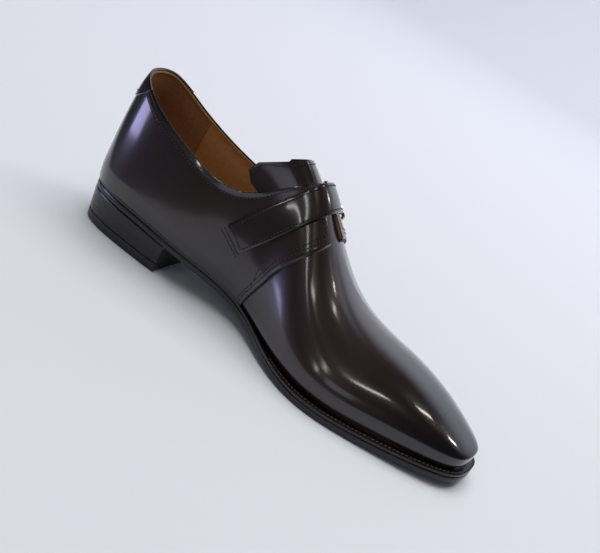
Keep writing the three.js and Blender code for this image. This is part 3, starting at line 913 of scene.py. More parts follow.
def stitch_tree() -> bpy.types.NodeTree:
    """Makes the tree that lays a thread stitch on each point, along its seam and square to the leather.

    Returns:
        The tree.
    """
    tree = bpy.data.node_groups.new("thread_stitches", "GeometryNodeTree")
    for name, kind in (("Geometry", "Geometry"), ("Stitch length", "Float"), ("Thread width", "Float"),
                       ("Thread height", "Float"), ("Thread", "Material")):
        tree.interface.new_socket(name, in_out="INPUT", socket_type=f"NodeSocket{kind}")
    tree.interface.new_socket("Geometry", in_out="OUTPUT", socket_type="NodeSocketGeometry")
    given = add_node(tree, "NodeGroupInput")
    along, square = (
        add_node(tree, "GeometryNodeInputNamedAttribute", {"data_type": "FLOAT_VECTOR", "Name": name})
        for name in ("along", "square"))
    size = add_node(tree, "ShaderNodeCombineXYZ", {}, {
        0: given.outputs["Stitch length"], 1: given.outputs["Thread width"],
        2: given.outputs["Thread height"]})
    ball = add_node(tree, "GeometryNodeMeshUVSphere", {"Segments": 8, "Rings": 5, "Radius": 0.5})
    first = add_node(tree, "FunctionNodeAlignRotationToVector", {"axis": "X"},
                     {"Vector": along.outputs["Attribute"]})
    second = add_node(tree, "FunctionNodeAlignRotationToVector", {"axis": "Z", "pivot_axis": "X"},
                      {"Rotation": first.outputs[0], "Vector": square.outputs["Attribute"]})
    placed = add_node(tree, "GeometryNodeInstanceOnPoints", {}, {
        "Points": given.outputs["Geometry"], "Instance": ball.outputs["Mesh"],
        "Rotation": second.outputs[0], "Scale": size.outputs[0]})
    real = add_node(tree, "GeometryNodeRealizeInstances", {}, {"Geometry": placed.outputs[0]})
    smooth = add_node(tree, "GeometryNodeSetShadeSmooth", {}, {0: real.outputs[0]})
    end = add_node(tree, "GeometryNodeSetMaterial", {}, {
        "Geometry": smooth.outputs[0], "Material": given.outputs["Thread"]})
    add_node(tree, "NodeGroupOutput", {}, {0: end.outputs[0]})
    return tree


@dataclass
class Seams:
    """Rows of stitches on the upper, the strap and the welt."""

    last: Last
    stitch: float = 1.6
    thread_width: float = 0.75
    thread_height: float = 0.7
    # Size of the dark bodies that paint the shade in the awl holes.
    hole_length: float = 0.8
    hole_width: float = 1.0
    hole_height: float = 0.34
    tree: bpy.types.NodeTree = field(default_factory=stitch_tree)

    def sew(self, name: str, rows: list[Row], length: float, width: float, height: float,
            thread: bpy.types.Material, slot: str) -> bpy.types.Object:
        """Lays stitches on the given points.

        Args:
            name: Name of the piece.
            rows: Points, directions along the seam and directions square to the leather.
            length: Length of a stitch in millimetres.
            width: Width of the thread.
            height: Height of the thread.
            thread: Its finish.
            slot: The record's slot.

        Returns:
            The stitches as one plain mesh.
        """
        points, along, square = (np.concatenate([row[k] for row in rows]) for k in range(3))
        mesh = bpy.data.meshes.new(name + "_points")
        mesh.from_pydata((points * MM).tolist(), [], [])
        for label, values in (("along", along), ("square", square)):
            layer = mesh.attributes.new(label, "FLOAT_VECTOR", "POINT")
            layer.data.foreach_set("vector", values.astype(np.float32).ravel())
        carrier = new_object(name + "_points", mesh)
        modifier = carrier.modifiers.new("stitches", "NODES")
        modifier.node_group = self.tree
        sizes = {"Stitch length": length * MM, "Thread width": width * MM, "Thread height": height * MM,
                 "Thread": thread}
        for item in self.tree.interface.items_tree:
            if item.in_out == "INPUT" and item.name in sizes:
                modifier[item.identifier] = sizes[item.name]
        result = bpy.data.meshes.new_from_object(
            carrier.evaluated_get(bpy.context.evaluated_depsgraph_get()))
        carrier.modifiers.remove(modifier)
        bpy.data.objects.remove(carrier)
        bpy.data.meshes.remove(mesh)
        result.name = name
        return dress(new_object(name, result), thread, slot)

    def seam(self, name: str, rows: list[Row], thread: bpy.types.Material, hole_shade: bpy.types.Material,
             slot: str) -> None:
        """Sews upper leather: threads, with a dark body between each two, painted shade for the awl holes.

        Args:
            name: Name of the stitches.
            rows: Points, directions along the seam and directions square to the leather.
            thread: Finish of the thread.
            hole_shade: Finish of the dark bodies, painted shade for the awl holes.
            slot: The record's slot.
        """
        self.sew(name, rows, self.stitch, self.thread_width, self.thread_height, thread, slot)
        # Painted shade: a dark body between each two stitches stands in for the shade in the awl holes.
        between = [((at[:-1] + at[1:]) / 2, ahead[:-1], square[:-1]) for at, ahead, square in rows]
        self.sew(name + "_holes", between, self.hole_length, self.hole_width, self.hole_height, hole_shade, slot)

    def row(self, line: Array, pitch: float, out: Array | float) -> Row:
        """Spaces stitches along a line of places on the last.

        Args:
            line: Places as rows of u and v.
            pitch: Distance between stitches.
            out: Height of the leather that they lie on.

        Returns:
            Points, directions along the line and surface normals.
        """
        out = np.broadcast_to(np.asarray(out, float), line[:, 0].shape)
        run = travelled(self.last.point(line[:, 0], line[:, 1], out))
        wanted = stitch_places(run, pitch)
        u, v = read_off(line, run, wanted).T
        out = np.interp(wanted, run, out)
        at = self.last.point(u, v, out)
        return at, unit(np.gradient(at, axis=0)), self.last.normal(u, v, out)


@dataclass
class Upper:
    """Vamp, quarters, back tab and lining."""

    last: Last
    pattern: Pattern
    finishes: Finishes
    seams: Seams
    skived: float = 0.9
    skive_width: float = 2.775
    skive_end: float = 1.2
    vamp_back: float = -0.95
    lining_face: float = -1.0
    lining_inner: float = -1.9
    tab_step: float = 0.8
    tab_reach: float = 2.2
    tab_row: float = 0.022
    rim: float = 0.45
    pitch: float = 2.3
    flap_lift: float = 1.9
    flap_rise: tuple[float, float] = (0.45, 0.9)
    core_reach: tuple[float, float] = (-0.012, 0.026)
    core_rise: tuple[float, float] = (-0.004, 0.0095)
    binding: float = 0.925
    binding_step: float = 0.12
    grip_front: float = 36.8
    grip_height: float = 70.0
    grip_low: float = -0.4
    grip_drop: float = 0.008
    easing: int = 14
    rolled: float = 1.5
    roll_reach: float = 0.09
    row_start: float = 1.9
    edge_row: float = 2.6
    second_start: float = 5.0
    second_row: tuple[float, float] = (2.9, 2.1)
    slot_row: float = 0.045
    front_rows: tuple[float, float] = (0.055, 0.11)
    branch: SideView = ((14.8, 95.9), (20.5, 92.6), (28.5, 87.9), (36.7, 82.6))
    branch_gap: float = 1.7
    bar_tack: SideView = ((134.6, 31.0), (134.0, 36.0), (133.4, 42.5), (134.8, 45.6), (136.8, 44.4))
    # along and across the foot, reach and width of the fold, height; a hollow has a negative height
    folds: tuple[tuple[float, ...], ...] = (
        (178, -17, 24, 2.4, 0.36), (182, -11, 26, 2.2, -0.3), (186, -24, 22, 2.8, 0.32),
        (176, -29, 20, 2.8, -0.26), (184, 10, 20, 3.0, 0.24), (180, 17, 18, 3.0, -0.2))
    fold_slant: float = 0.28
    # Where the wax starts or ends along the foot, and how far the darkening rises from the sole, how it
    # spreads, and how dark it gets. Low on the waist the darkening is painted shade.
    toe_wax: tuple[float, float, float] = (0.72, 0.2, 0.85)
    heel_wax: tuple[float, float] = (0.16, 0.6)
    waist_shade: tuple[float, float, float] = (0.42, 0.13, 0.8)
    feather_darkening: tuple[float, float] = (16.0, 0.75)

    def burnish_and_shade(self, points: Array) -> Array:
        """How dark the leather is: wax on the toe and heel, darker towards the sole, painted shade low on the
        waist.

        Args:
            points: Points on the upper.

        Returns:
            A value from 0, brown, to 1, black, for each point.
        """
        x = points[..., 0] + self.last.origin[0]
        over = points[..., 2] - self.last.footbed(x)
        share = x / LENGTH
        start, spread, dark = self.toe_wax
        toe = np.clip((share - start) / spread, 0, 1) * dark
        # Darker towards the sole all round the upper.
        rise, dark = self.feather_darkening
        feather = np.clip(1 - over / rise, 0, 1) ** 1.2 * dark
        end, dark = self.heel_wax
        heel = np.clip((end - share) / end, 0, 1) * np.clip(1 - (over - 25) / 45, 0.35, 1) * dark
        # Painted shade: the waist is darkened low down, where shadow falls under the arch near the sole.
        middle, spread, dark = self.waist_shade
        waist = np.exp(-((share - middle) / spread) ** 2) * np.clip(1 - over / 45, 0, 1) * dark
        return np.clip(np.maximum.reduce([toe, feather, heel, waist]), 0, 1)

    def vamp_places(self, m: int = 341, n: int = 70) -> Array:
        """Places of the vamp, from under one quarter round the toe to under the other.

        Args:
            m: Places round the toe.
            n: Places up the wall.

        Returns:
            Places in an m by n by 2 array.
        """
        v = -1 + 2 * np.linspace(0, 1, n) ** 0.9
        start = np.interp(v, [-1, 0.4, 1], [4.9, 5.1, 5.45])
        s = np.linspace(0, 1, m)[:, None]
        u = start + (self.last.turn - 2 * start) * s
        return np.stack([u, np.broadcast_to(v, u.shape)], -1)

    def creases(self, places: Array) -> Array:
        """Soft hollows and ridges where the leather was drawn over the last's instep.

        Args:
            places: Places of the vamp.

        Returns:
            Height of each over the last.
        """
        u, v = places[..., 0], places[..., 1]
        x, y, _ = np.moveaxis(self.last.point(u, v) + self.last.origin, -1, 0)
        total = np.zeros_like(u)
        for along, across, reach, width, height in self.folds:
            bend = across + (x - along) * np.sign(across) * self.fold_slant
            total += height * np.exp(-((x - along) / reach) ** 2 - ((y - bend) / width) ** 2)
        return total

    def make_vamp(self) -> None:
        """The vamp and its lining."""
        places = self.vamp_places()
        face = skin(self.last, places, self.creases(places), self.vamp_back, self.rim, self.burnish_and_shade, True,
                    self.easing)
        dress(face.make("vamp"), self.finishes.calf, "calf_leather", "upper")
        inner = skin(self.last, places[::4, ::3], self.lining_face, self.lining_inner, 0.2, joined=True)
        dress(inner.make("vamp_lining"), self.finishes.lining, "lining_leather")

    def edge_height(self, places: Array, side: int) -> Array:
        """The quarter's face, skived thinner towards the topline.

        Args:
            places: Places of the quarter.
            side: 1 for the lateral side, -1 for the medial side.

        Returns:
            Height over the vamp at each place.
        """
        q = places[..., 0] if side > 0 else self.last.turn - places[..., 0]
        back = self.pattern.flap_back[side]
        below = (self.pattern.topline_v(np.clip(q, 0, back), side) - places[..., 1]) * V_RISE
        thin = np.clip(1 - below / self.skive_width, 0, 1) ** 1.5 * np.clip((back - q) / self.skive_end, 0, 1)
        return QUARTER_STEP - (QUARTER_STEP - self.skived) * thin + self.stand_off(places, side)

    def roll(self, v: Array, low: Array, top: Array) -> Array:
        """How far the leather rolls outwards on its way up to an edge, so that the rim looks thin."""
        return self.rolled * smoothstep(v, low, top)

    def back_height(self, places: Array, side: int) -> Array:
        """The quarter's back, which rolls outwards under the topline.

        Args:
            places: Places of the quarter.
            side: 1 for the lateral side, -1 for the medial side.

        Returns:
            Height over the vamp at each place.
        """
        q = places[..., 0] if side > 0 else self.last.turn - places[..., 0]
        back = self.pattern.flap_back[side]
        top = self.pattern.topline_v(np.clip(q, 0, back), side)
        return self.roll(places[..., 1], top - self.roll_reach, top) * (q < back) + self.lining_face

    def stand_off(self, places: Array, side: int) -> Array:
        """How far the corner of the lateral flap stands off the vamp.

        Args:
            places: Places of the quarter.
            side: 1 for the lateral side, -1 for the medial side.

        Returns:
            The distance at each place.
        """
        if side != Side.LATERAL.value:
            return np.zeros(places.shape[:-1])
        front = self.pattern.flap_front[side]
        q, v = places[..., 0], places[..., 1]
        return self.flap_lift * smoothstep(q, front - 0.75, front) * smoothstep(v, *self.flap_rise)
        front = self.pattern.flap_front[side]
        q = places[..., 0]
        return self.flap_lift * smoothstep(q, front - 0.75, front) * smoothstep(places[..., 1], 0.45, 0.9)

    def quarter_places(self, side: int, m: int = 190, n: int = 72) -> Array:
        """Places of one quarter, from the back seam to its front edge.

        Args:
            side: 1 for the lateral side, -1 for the medial side.
            m: Places along the foot.
            n: Places up the wall.

        Returns:
            Places in an m by n by 2 array.
        """
        pattern, last = self.pattern, self.last
        front = pattern.flap_front[side]
        back = pattern.flap_back[side]
        q = np.unique(np.concatenate([np.linspace(0, front, 900), [back]]))
        top = np.stack([q, pattern.quarter_top(q, side)], -1)
        v = np.linspace(-1, top[-1, 1], 400)
        right = np.stack([pattern.front_q(v, side), v], -1)
        right[-1] = top[-1]
        bottom = np.stack([np.linspace(0, right[0, 0], 900), np.full(900, -1.0)], -1)
        left = np.stack([np.zeros(400), np.linspace(-1, top[0, 1], 400)], -1)
        lines = [evenly(line, count, last, QUARTER_STEP) for line, count in (
            (bottom, m), (top, m), (left, n), (right, n))]
        grid = panel_grid(*lines)
        grid[..., 0] = last.at_side(grid[..., 0], side)
        return grid

    def make_quarters(self) -> None:
        """Both quarters, which meet in a closed seam at the back."""
        for side in Side:
            places = self.quarter_places(side.value)
            out = self.edge_height(places, side.value)
            under = np.minimum(self.back_height(places, side.value), out - 0.5)
            face = skin(self.last, places, out, under, self.rim, self.burnish_and_shade)
            dress(face.make(f"quarter_{side.name.lower()}"), self.finishes.calf, "calf_leather")

    def make_lining(self) -> None:
        """Quarter lining, from the feather edge to just under the topline, and the heel grip."""
        sides = []
        for side in (-1, 1):
            q = np.linspace(0, self.pattern.flap_front[side] - 0.15, 160)
            top = np.minimum(self.pattern.quarter_top(q, side) - 0.006, 0.985)
            line = np.stack([self.last.at_side(q, side), top], -1)
            sides.append(line[::-1] if side < 0 else line)
        sides[0][:, 0] -= self.last.turn
        top = np.concatenate([sides[0][:-1], sides[1]])
        t = np.linspace(0, 1, 50)[None, :]
        v = -1 + (top[:, 1:2] + 1) * t
        places = np.stack([np.broadcast_to(top[:, :1], v.shape), v], -1)
        roll = self.roll(v, top[:, 1:2] - self.roll_reach, top[:, 1:2])
        lining = skin(self.last, places, roll + self.lining_face, roll + self.lining_inner, 0.15)
        dress(lining.make("quarter_lining"), self.finishes.lining, "lining_leather")
        self.make_grip()

    def make_grip(self) -> None:
        """The heel grip, a second layer whose front edges show on the quarter lining."""
        corner = np.array([self.grip_front]), np.array([self.grip_height])
        ends = [self.pattern.place(*corner, side, self.lining_inner)[0, 0] for side in (-1, 1)]
        q = np.linspace(ends[0] - self.last.turn, ends[1], 120)
        topline = [self.pattern.topline_v(np.array([abs(k)]), 1 if k >= 0 else -1)[0] for k in q]
        top = np.array(topline)[:, None] - self.grip_drop
        v = self.grip_low + (top - self.grip_low) * np.linspace(0, 1, 40)[None, :]
        u = np.broadcast_to(q[:, None], v.shape)
        roll = self.roll(v, top - self.roll_reach, top + self.grip_drop) + self.lining_inner
        grip = skin(self.last, np.stack([u, v], -1), roll + 0.2, roll - 0.45, 0.2)
        dress(grip.make("heel_grip"), self.finishes.grip, "lining_leather")

    def make_binding(self) -> None:
        """A narrow folded binding along the topline of each quarter."""
        for side in Side:
            q = np.linspace(0, self.pattern.flap_back[side.value], 220)
            top = self.pattern.topline_v(q, side.value)
            steps = np.linspace(0, 1, 5)[None, :]
            low = top - self.binding / V_RISE
            v = low[:, None] + (top - low)[:, None] * steps
            u = np.broadcast_to(self.last.at_side(q, side.value)[:, None], v.shape)
            places = np.stack([u, v], -1)
            out = self.edge_height(places, side.value) + self.binding_step
            strip = skin(self.last, places, out, out - 0.8, 0.3, lambda p: np.full(p.shape[:-1], 0.8))
            dress(strip.make(f"topline_binding_{side.name.lower()}"), self.finishes.calf, "calf_leather")

    def make_flap_core(self) -> None:
        """The undyed core along the two thick edges of the lateral flap's corner."""
        side = Side.LATERAL.value
        front = self.pattern.flap_front[side]
        top = float(self.pattern.slot_v(np.array([front]), side)[0])
        v = np.linspace(0.5, top, 60)
        q = self.pattern.front_q(v, side)[:, None] + np.linspace(*self.core_reach, 3)[None, :]
        forward = np.stack([q, np.broadcast_to(v[:, None], q.shape)], -1)
        q = np.linspace(front - 0.8, front, 60)
        v = self.pattern.slot_v(q, side)[:, None] + np.linspace(*self.core_rise, 3)[None, :]
        upward = np.stack([np.broadcast_to(q[:, None], v.shape), v], -1)
        for name, places in (("flap_core_front", forward), ("flap_core_top", upward)):
            lift = self.stand_off(places, side)
            strip = skin(self.last, places, lift + 1.0, lift * 0.5, 0.1)
            dress(strip.make(name), self.finishes.core, "calf_leather")

    def make_tab(self) -> None:
        """The back tab, sewn over the top of the back seam."""
        ends = []
        for side in (-1, 1):
            q = np.linspace(0, self.tab_reach, 60)
            low = solve(lambda v: over_line(self.pattern.seen(q, v, side), self.pattern.tab),
                        np.zeros_like(q), np.ones_like(q))
            top = self.pattern.topline_v(q, side)
            rows = np.stack([self.last.at_side(q, side), low, top], -1)[low < top - 0.002]
            ends.append(rows[::-1] if side < 0 else rows)
        ends[0][:, 0] -= self.last.turn
        rows = np.concatenate([ends[0][:-1], ends[1]])
        t = np.linspace(0, 1, 14)[None, :]
        v = rows[:, 1:2] + (rows[:, 2:3] - rows[:, 1:2]) * t
        u = np.broadcast_to(rows[:, :1], v.shape)
        out = QUARTER_STEP + self.tab_step - (QUARTER_STEP - self.skived) * t ** 3
        tab = skin(self.last, np.stack([u, v], -1), np.broadcast_to(out, v.shape), 0.3, 0.35,
                   lambda p: np.full(p.shape[:-1], 0.75))
        dress(tab.make("back_tab"), self.finishes.calf, "calf_leather")
        line = np.stack([u[:, 0], v[:, 0] + self.tab_row], -1)[rows[:, 2] - rows[:, 1] > 0.05]
        self.seams.seam("tab_stitches", [self.seams.row(line, self.pitch, QUARTER_STEP + self.tab_step)],
                        self.finishes.thread, self.finishes.hole_shade, "calf_leather")

    def make_stitches(self) -> None:
        """Rows along the topline, round the flaps and along the front edge, and the bar tacks."""
        rows = []
        pattern = self.pattern
        for side in (1, -1):
            back, front = pattern.flap_back[side], pattern.flap_front[side]
            q = np.linspace(self.row_start, back - 0.05, 300)
            rows.append(self.on_quarter(q, pattern.topline_v(q, side) - self.edge_row / V_RISE, side))
            for drop in (0.0, self.branch_gap):
                lower = tuple((x - drop * 0.5, z - drop * 0.8) for x, z in self.branch)
                rows.append(self.on_side_view(lower, side))
            q = np.linspace(self.second_start, back - 0.05, 120)
            fall = self.second_row[0] + self.second_row[1] * smoothstep(q, self.second_start, 5.5)
            rows.append(self.on_quarter(q, pattern.topline_v(q, side) - fall / V_RISE, side))
            q = np.linspace(back + 0.05, front - 0.12, 80)
            rows.append(self.on_quarter(q, pattern.slot_v(q, side) - self.slot_row, side))
            top_v = float(pattern.slot_v(np.array([front]), side)[0])
            v = np.linspace(-0.75, top_v - 0.05, 200)
            for inset in self.front_rows:
                rows.append(self.on_quarter(pattern.front_q(v, side) - inset, v, side))
            rows.append(self.on_side_view(self.bar_tack, side))
        self.seams.seam("quarter_stitches", rows, self.finishes.thread, self.finishes.hole_shade, "calf_leather")

    def on_side_view(self, curve: SideView, side: int) -> Row:
        """A row of stitches on a quarter's face, along a side-view curve."""
        line = side_view_curve(curve, 40)
        return self.on_face(self.pattern.place(line[:, 0], line[:, 1], side), side)

    def on_quarter(self, q: Array, v: Array, side: int) -> Row:
        """A row of stitches on a quarter's face, by its places from the back seam."""
        return self.on_face(np.stack([self.last.at_side(q, side), v], -1), side)

    def on_face(self, places: Array, side: int) -> Row:
        """A row of stitches on a quarter's face, by its places on the last."""
        return self.seams.row(places, self.pitch, self.edge_height(places, side))

    def build(self) -> None:
        """Makes every piece of the upper."""
        self.make_vamp()
        self.make_quarters()
        self.make_lining()
        self.make_binding()
        self.make_flap_core()
        self.make_tab()
        self.make_stitches()


@dataclass
class Tongue:
    """The tall tongue, which rises above the strap inside the throat."""

    last: Last
    pattern: Pattern
    finishes: Finishes
    seams: Seams
    face: float = -2.3
    back: float = -4.0
    lowest_v: float = 0.385
    front: float = 7.0
    rim: float = 0.5
    row_inset: float = 3.0
    pitch: float = 2.2
    # A point in the middle of the foot, which the tongue faces away from.
    heart: tuple[float, float, float] = (12.0, -2.0, 62.0)

    def build(self) -> None:
        """Makes the tongue and the row of stitches inside its edge."""
        a = np.linspace(-1, 1, 260)
        v = 1 - np.abs(a) * (1 - self.lowest_v)
        top = np.zeros_like(a)
        for side in (1, -1):
            q = solve(lambda k: past_line(self.pattern.seen(k, v, side, self.face), self.pattern.tongue),
                      np.full_like(v, 2.0), np.full_like(v, 9.0))
            top = np.where(np.sign(a) == side, q, top)
        share = np.linspace(0, 1, 60)[None, :] ** 1.2
        q = top[:, None] + (self.front - top[:, None]) * share
        u = np.where(a[:, None] > 0, q, self.last.turn - q)
        height = np.broadcast_to(v[:, None], q.shape)
        face = self.last.point(u, height, self.face)
        back = self.last.point(u, height, self.back)
        dress(sheet_between(face, back, self.rim).make("tongue_leather"), self.finishes.calf,
              "calf_leather", "tongue")
        step = face[:, 1] - face[:, 0]
        for k in range(2, 12):
            more = face[:, k] - face[:, 0]
            step = np.where(np.linalg.norm(more, axis=1, keepdims=True) < self.row_inset, more, step)
        edge = (face[:, 0] + step)[8:-8]
        rows = [space_points(edge, self.pitch, self.normal_at)]
        self.seams.seam("tongue_stitches", rows, self.finishes.thread, self.finishes.hole_shade, "calf_leather")

    def normal_at(self, points: Array) -> Array:
        """Rough outward directions on the tongue: away from the foot's middle line.

        Args:
            points: Points on the tongue.

        Returns:
            Unit vectors.
        """
        p = points + self.last.origin
        behind, across, high = self.heart
        middle = np.stack([p[:, 0] - behind, np.full(len(p), across), np.full(len(p), high)], -1)
        return unit(p - middle)


def sheet_between(face: Array, back: Array, rim: float, value: float = 0.35) -> Draft:
    """Closes two matching grids into a body with rounded edges.

    Args:
        face: Points of its face.
        back: Points of its back.
        rim: Radius of its edge.
        value: How dark it is burnished.

    Returns:
        The draft of a closed body.
    """
    draft = Draft()
    top, low = draft.add(face, value), draft.add(back, value)
    draft.weave(top)
    draft.weave(low[::-1])
    edge_at, inner_at = border(*face.shape[:2])
    edge, under = face[edge_at], back[edge_at]
    away = unit(edge - face[inner_at])
    normal = unit(edge - under)
    away -= normal * (away * normal).sum(1, keepdims=True)
    rings = [top[edge_at]]
    turns = [math.radians(degrees) for degrees in (30, 60, 90)]
    for start, sense, angles in ((edge, -1, turns), (under, 1, turns[::-1])):
        for angle in angles:
            ring = start + away * rim * math.sin(angle) + sense * normal * rim * (1 - math.cos(angle))
            rings.append(draft.add(ring, min(value + 0.4, 1)))
    rings.append(low[edge_at])
    draft.weave(np.array(rings).T, wrap=True)
    return draft


def space_points(line: Array, pitch: float, normal: Callable[[Array], Array]) -> Row:
    """Spaces stitches along a line of points.

    Args:
        line: Points of the seam.
        pitch: Distance between stitches.
        normal: Gives the outward direction at each point.

    Returns:
        Points, directions along the seam and outward directions.
    """
    run = travelled(line)
    at = read_off(line, run, stitch_places(run, pitch))
    return at, unit(np.gradient(at, axis=0)), normal(at)


@dataclass
class Band:
    """The strap's path round the instep, measured from the crest, positive on the lateral side."""

    last: Last

    def __post_init__(self) -> None:
        """Measures the girth along the middle of the band on each side."""
        v = np.linspace(1, 0, 61)
        self.tables = {}
        for side in (1, -1):
            points = self.at(np.full(61, side), v, np.zeros(61), np.full(61, QUARTER_STEP))
            self.tables[side] = (travelled(points), v)

    def at(self, side: Array, v: Array, shift: Array, out: Array) -> Array:
        """Points of the last on planes across the foot.

        Args:
            side: 1 for the lateral side, -1 for the medial side.
            v: Places up the wall.
            shift: Distances of the planes in front of the band's middle.
            out: Distance outside the vamp's face.

        Returns:
            The points.
        """
        def place(q: Array) -> Array:
            """Points at places from heel to toe."""
            return self.last.point(np.where(side > 0, q, self.last.turn - q), v, out)

        def past(q: Array) -> Array:
            """How far each of them lies in front of its plane."""
            p = place(q) + self.last.origin
            return ((p[..., 0] - STRAP_CREST[0]) * math.sin(STRAP_ANGLE)
                    - (p[..., 2] - STRAP_CREST[1]) * math.cos(STRAP_ANGLE) - shift)

        return place(solve(past, np.zeros(np.shape(v)), np.full(np.shape(v), float(self.last.toe))))

    def wrapped(self, girth: Array, shift: Array, out: Array) -> Array:
        """Points of the band.

        Args:
            girth: Distances from the crest, positive on the lateral side.
            shift: Distances from the band's middle towards the toe.
            out: Heights over the vamp.

        Returns:
            The points.
        """
        girth, shift, out = np.broadcast_arrays(
            np.asarray(girth, float), np.asarray(shift, float), np.asarray(out, float))
        side = np.where(girth >= 0, 1, -1)
        v = np.where(side > 0, np.interp(np.abs(girth), *self.tables[1]),
                     np.interp(np.abs(girth), *self.tables[-1]))
        return self.at(side, v, shift, out)

    def normal(self, girth: Array, shift: Array, out: Array) -> Array:
        """Outward directions of the band."""
        return unit(self.wrapped(girth, shift, np.asarray(out) + 0.5) - self.wrapped(girth, shift, out))

@dataclass
class StrapAndBuckle:
    """The strap over the instep, its chape, and the rectangular buckle on the lateral side."""

    band: Band
    finishes: Finishes
    seams: Seams
    width: float = 18.6
    thickness: float = 2.4
    rear: float = 65.5
    tail: float = 67.0
    rear_skew: float = -0.27
    tip: float = 7.0
    buckle_girth: float = 39.3
    buckle_length: float = 21.0
    bar: float = 2.5
    hinge: float = 1.6
    chape: float = 1.2
    gap: float = 0.3
    rim: float = 0.6
    arch: float = 1.6
    crown: float = 0.25
    inset: float = 2.0
    pitch: float = 2.3
    anchor_rows: tuple[float, float] = (1.8, 4.0)
    prong_radius: float = 0.85
    prong_lift: float = 0.9
    squareness: float = 3.2

    @property
    def rest(self) -> float:
        """Height of the strap's underside on the quarters."""
        return QUARTER_STEP + self.gap

    @property
    def hinge_girth(self) -> float:
        """Where the buckle's hinge bar lies."""
        return self.buckle_girth + (self.buckle_length - self.bar) / 2

    def rest_at(self, girth: Array) -> Array:
        """Height of the strap's underside: it stands off the crest and climbs over the hinge bar.

        Args:
            girth: Distances from the crest.

        Returns:
            Heights over the vamp.
        """
        climb = self.chape + self.hinge + 2 * self.gap
        rise = smoothstep(girth, self.hinge_girth - 9, self.hinge_girth - 2)
        fall = smoothstep(girth, self.hinge_girth + 2, self.hinge_girth + 10)
        arch = self.arch * (1 - smoothstep(np.abs(girth - 4), 6, 24))
        return self.rest + arch + climb * rise - (self.hinge + self.gap) * fall

    def grid(self, inset: float = 0.0, m: int = 240, n: int = 16) -> tuple[Array, Array]:
        """A grid over the strap.

        Args:
            inset: How far it is drawn in from the strap's edge.
            m: Places along the strap.
            n: Places across it.

        Returns:
            Girths and shifts, m by n.
        """
        s = np.linspace(0, 1, m)[:, None]
        girth = -self.rear + inset + (self.tail + self.rear - 2 * inset) * s
        left = self.tail - inset - girth
        half = self.width / 2 - inset - np.maximum(0, self.tip - left) * 0.72
        across = np.linspace(-1, 1, n)[None, :]
        lean = self.rear_skew * smoothstep(-girth, 0, self.rear)
        shift = across * half
        return girth + lean * shift, shift

    def make_strap(self) -> None:
        """The strap, the rows of stitches along its edges and those that anchor it behind."""
        girth, shift = self.grid(self.rim)
        rest = self.rest_at(girth)
        crown = self.crown * (1 - (shift / (self.width / 2)) ** 2)
        face = self.band.wrapped(girth, shift, rest + self.thickness - self.crown + crown)
        back = self.band.wrapped(girth, shift, rest)
        draft = sheet_between(face, back, self.rim, 0.3)
        dress(draft.make("strap_leather"), self.finishes.calf, "calf_leather", "strap")
        girth, shift = self.grid(self.inset, m=200, n=3)
        rows = [self.sewn(girth[:, column], shift[:, column]) for column in (0, 2)]
        ends = np.linspace(-1, 1, 20) * (self.width / 2 - self.inset)
        rows.append(self.sewn(-self.rear + self.inset + self.rear_skew * ends, ends))
        self.seams.seam("strap_stitches", rows, self.finishes.thread, self.finishes.hole_shade, "calf_leather")
        ends = np.linspace(-1, 1, 20) * self.width * 0.54
        rows = [self.sewn(-self.rear - behind + self.rear_skew * ends, ends, QUARTER_STEP)
                for behind in self.anchor_rows]
        self.seams.seam("anchor_stitches", rows, self.finishes.thread, self.finishes.hole_shade, "calf_leather")

    def sewn(self, girth: Array, shift: Array, height: float | None = None) -> Row:
        """A row of stitches on the strap's face or beside it.

        Args:
            girth: Girths of the row.
            shift: Shifts of the row.
            height: Height of what it lies on, where that isn't the strap.

        Returns:
            Points, directions along the row and outward directions.
        """
        out = self.rest_at(girth) + self.thickness if height is None else np.full(len(girth), height)
        run = travelled(self.band.wrapped(girth, shift, out))
        places = read_off(np.stack([girth, shift, out], -1), run, stitch_places(run, self.pitch)).T
        at = self.band.wrapped(*places)
        return at, unit(np.gradient(at, axis=0)), self.band.normal(*places)

    def make_chape(self) -> None:
        """The short leather that holds the buckle on the lateral quarter."""
        girth = np.linspace(self.hinge_girth - self.bar, self.tail - 6, 30)[:, None]
        shift = np.linspace(-1, 1, 8)[None, :] * self.width * 0.4
        girth, shift = np.broadcast_arrays(girth, shift)
        face = self.band.wrapped(girth, shift, self.rest + self.chape)
        back = self.band.wrapped(girth, shift, self.rest)
        dress(sheet_between(face, back, 0.4, 0.6).make("chape_leather"), self.finishes.calf, "calf_leather",
              "buckle_chape")

    def ring_path(self, count: int = 160) -> Array:
        """Middle line of the buckle's frame.

        Args:
            count: How many points it has.

        Returns:
            Girth, shift and height of each point.
        """
        half = self.width / 2 + 2 * self.gap + self.bar / 2
        near = self.buckle_girth - (self.buckle_length - self.bar) / 2
        over = self.rest + self.thickness + self.gap + self.bar / 2
        under = self.rest + self.chape + self.gap + self.hinge / 2
        corners = np.array([[near, half, over], [self.hinge_girth, half, under],
                            [self.hinge_girth, -half, under], [near, -half, over]])
        points = []
        for k, corner in enumerate(corners):
            a, b = (corner + (other - corner) / np.linalg.norm(other - corner) * self.bar
                    for other in (corners[k - 1], corners[(k + 1) % 4]))
            for t in np.linspace(0, 1, 9):
                points.append((1 - t) ** 2 * a + 2 * t * (1 - t) * corner + t * t * b)
        line = np.array(points + points[:1])
        run = travelled(line)
        return read_off(line, run, np.linspace(0, run[-1], count, endpoint=False))

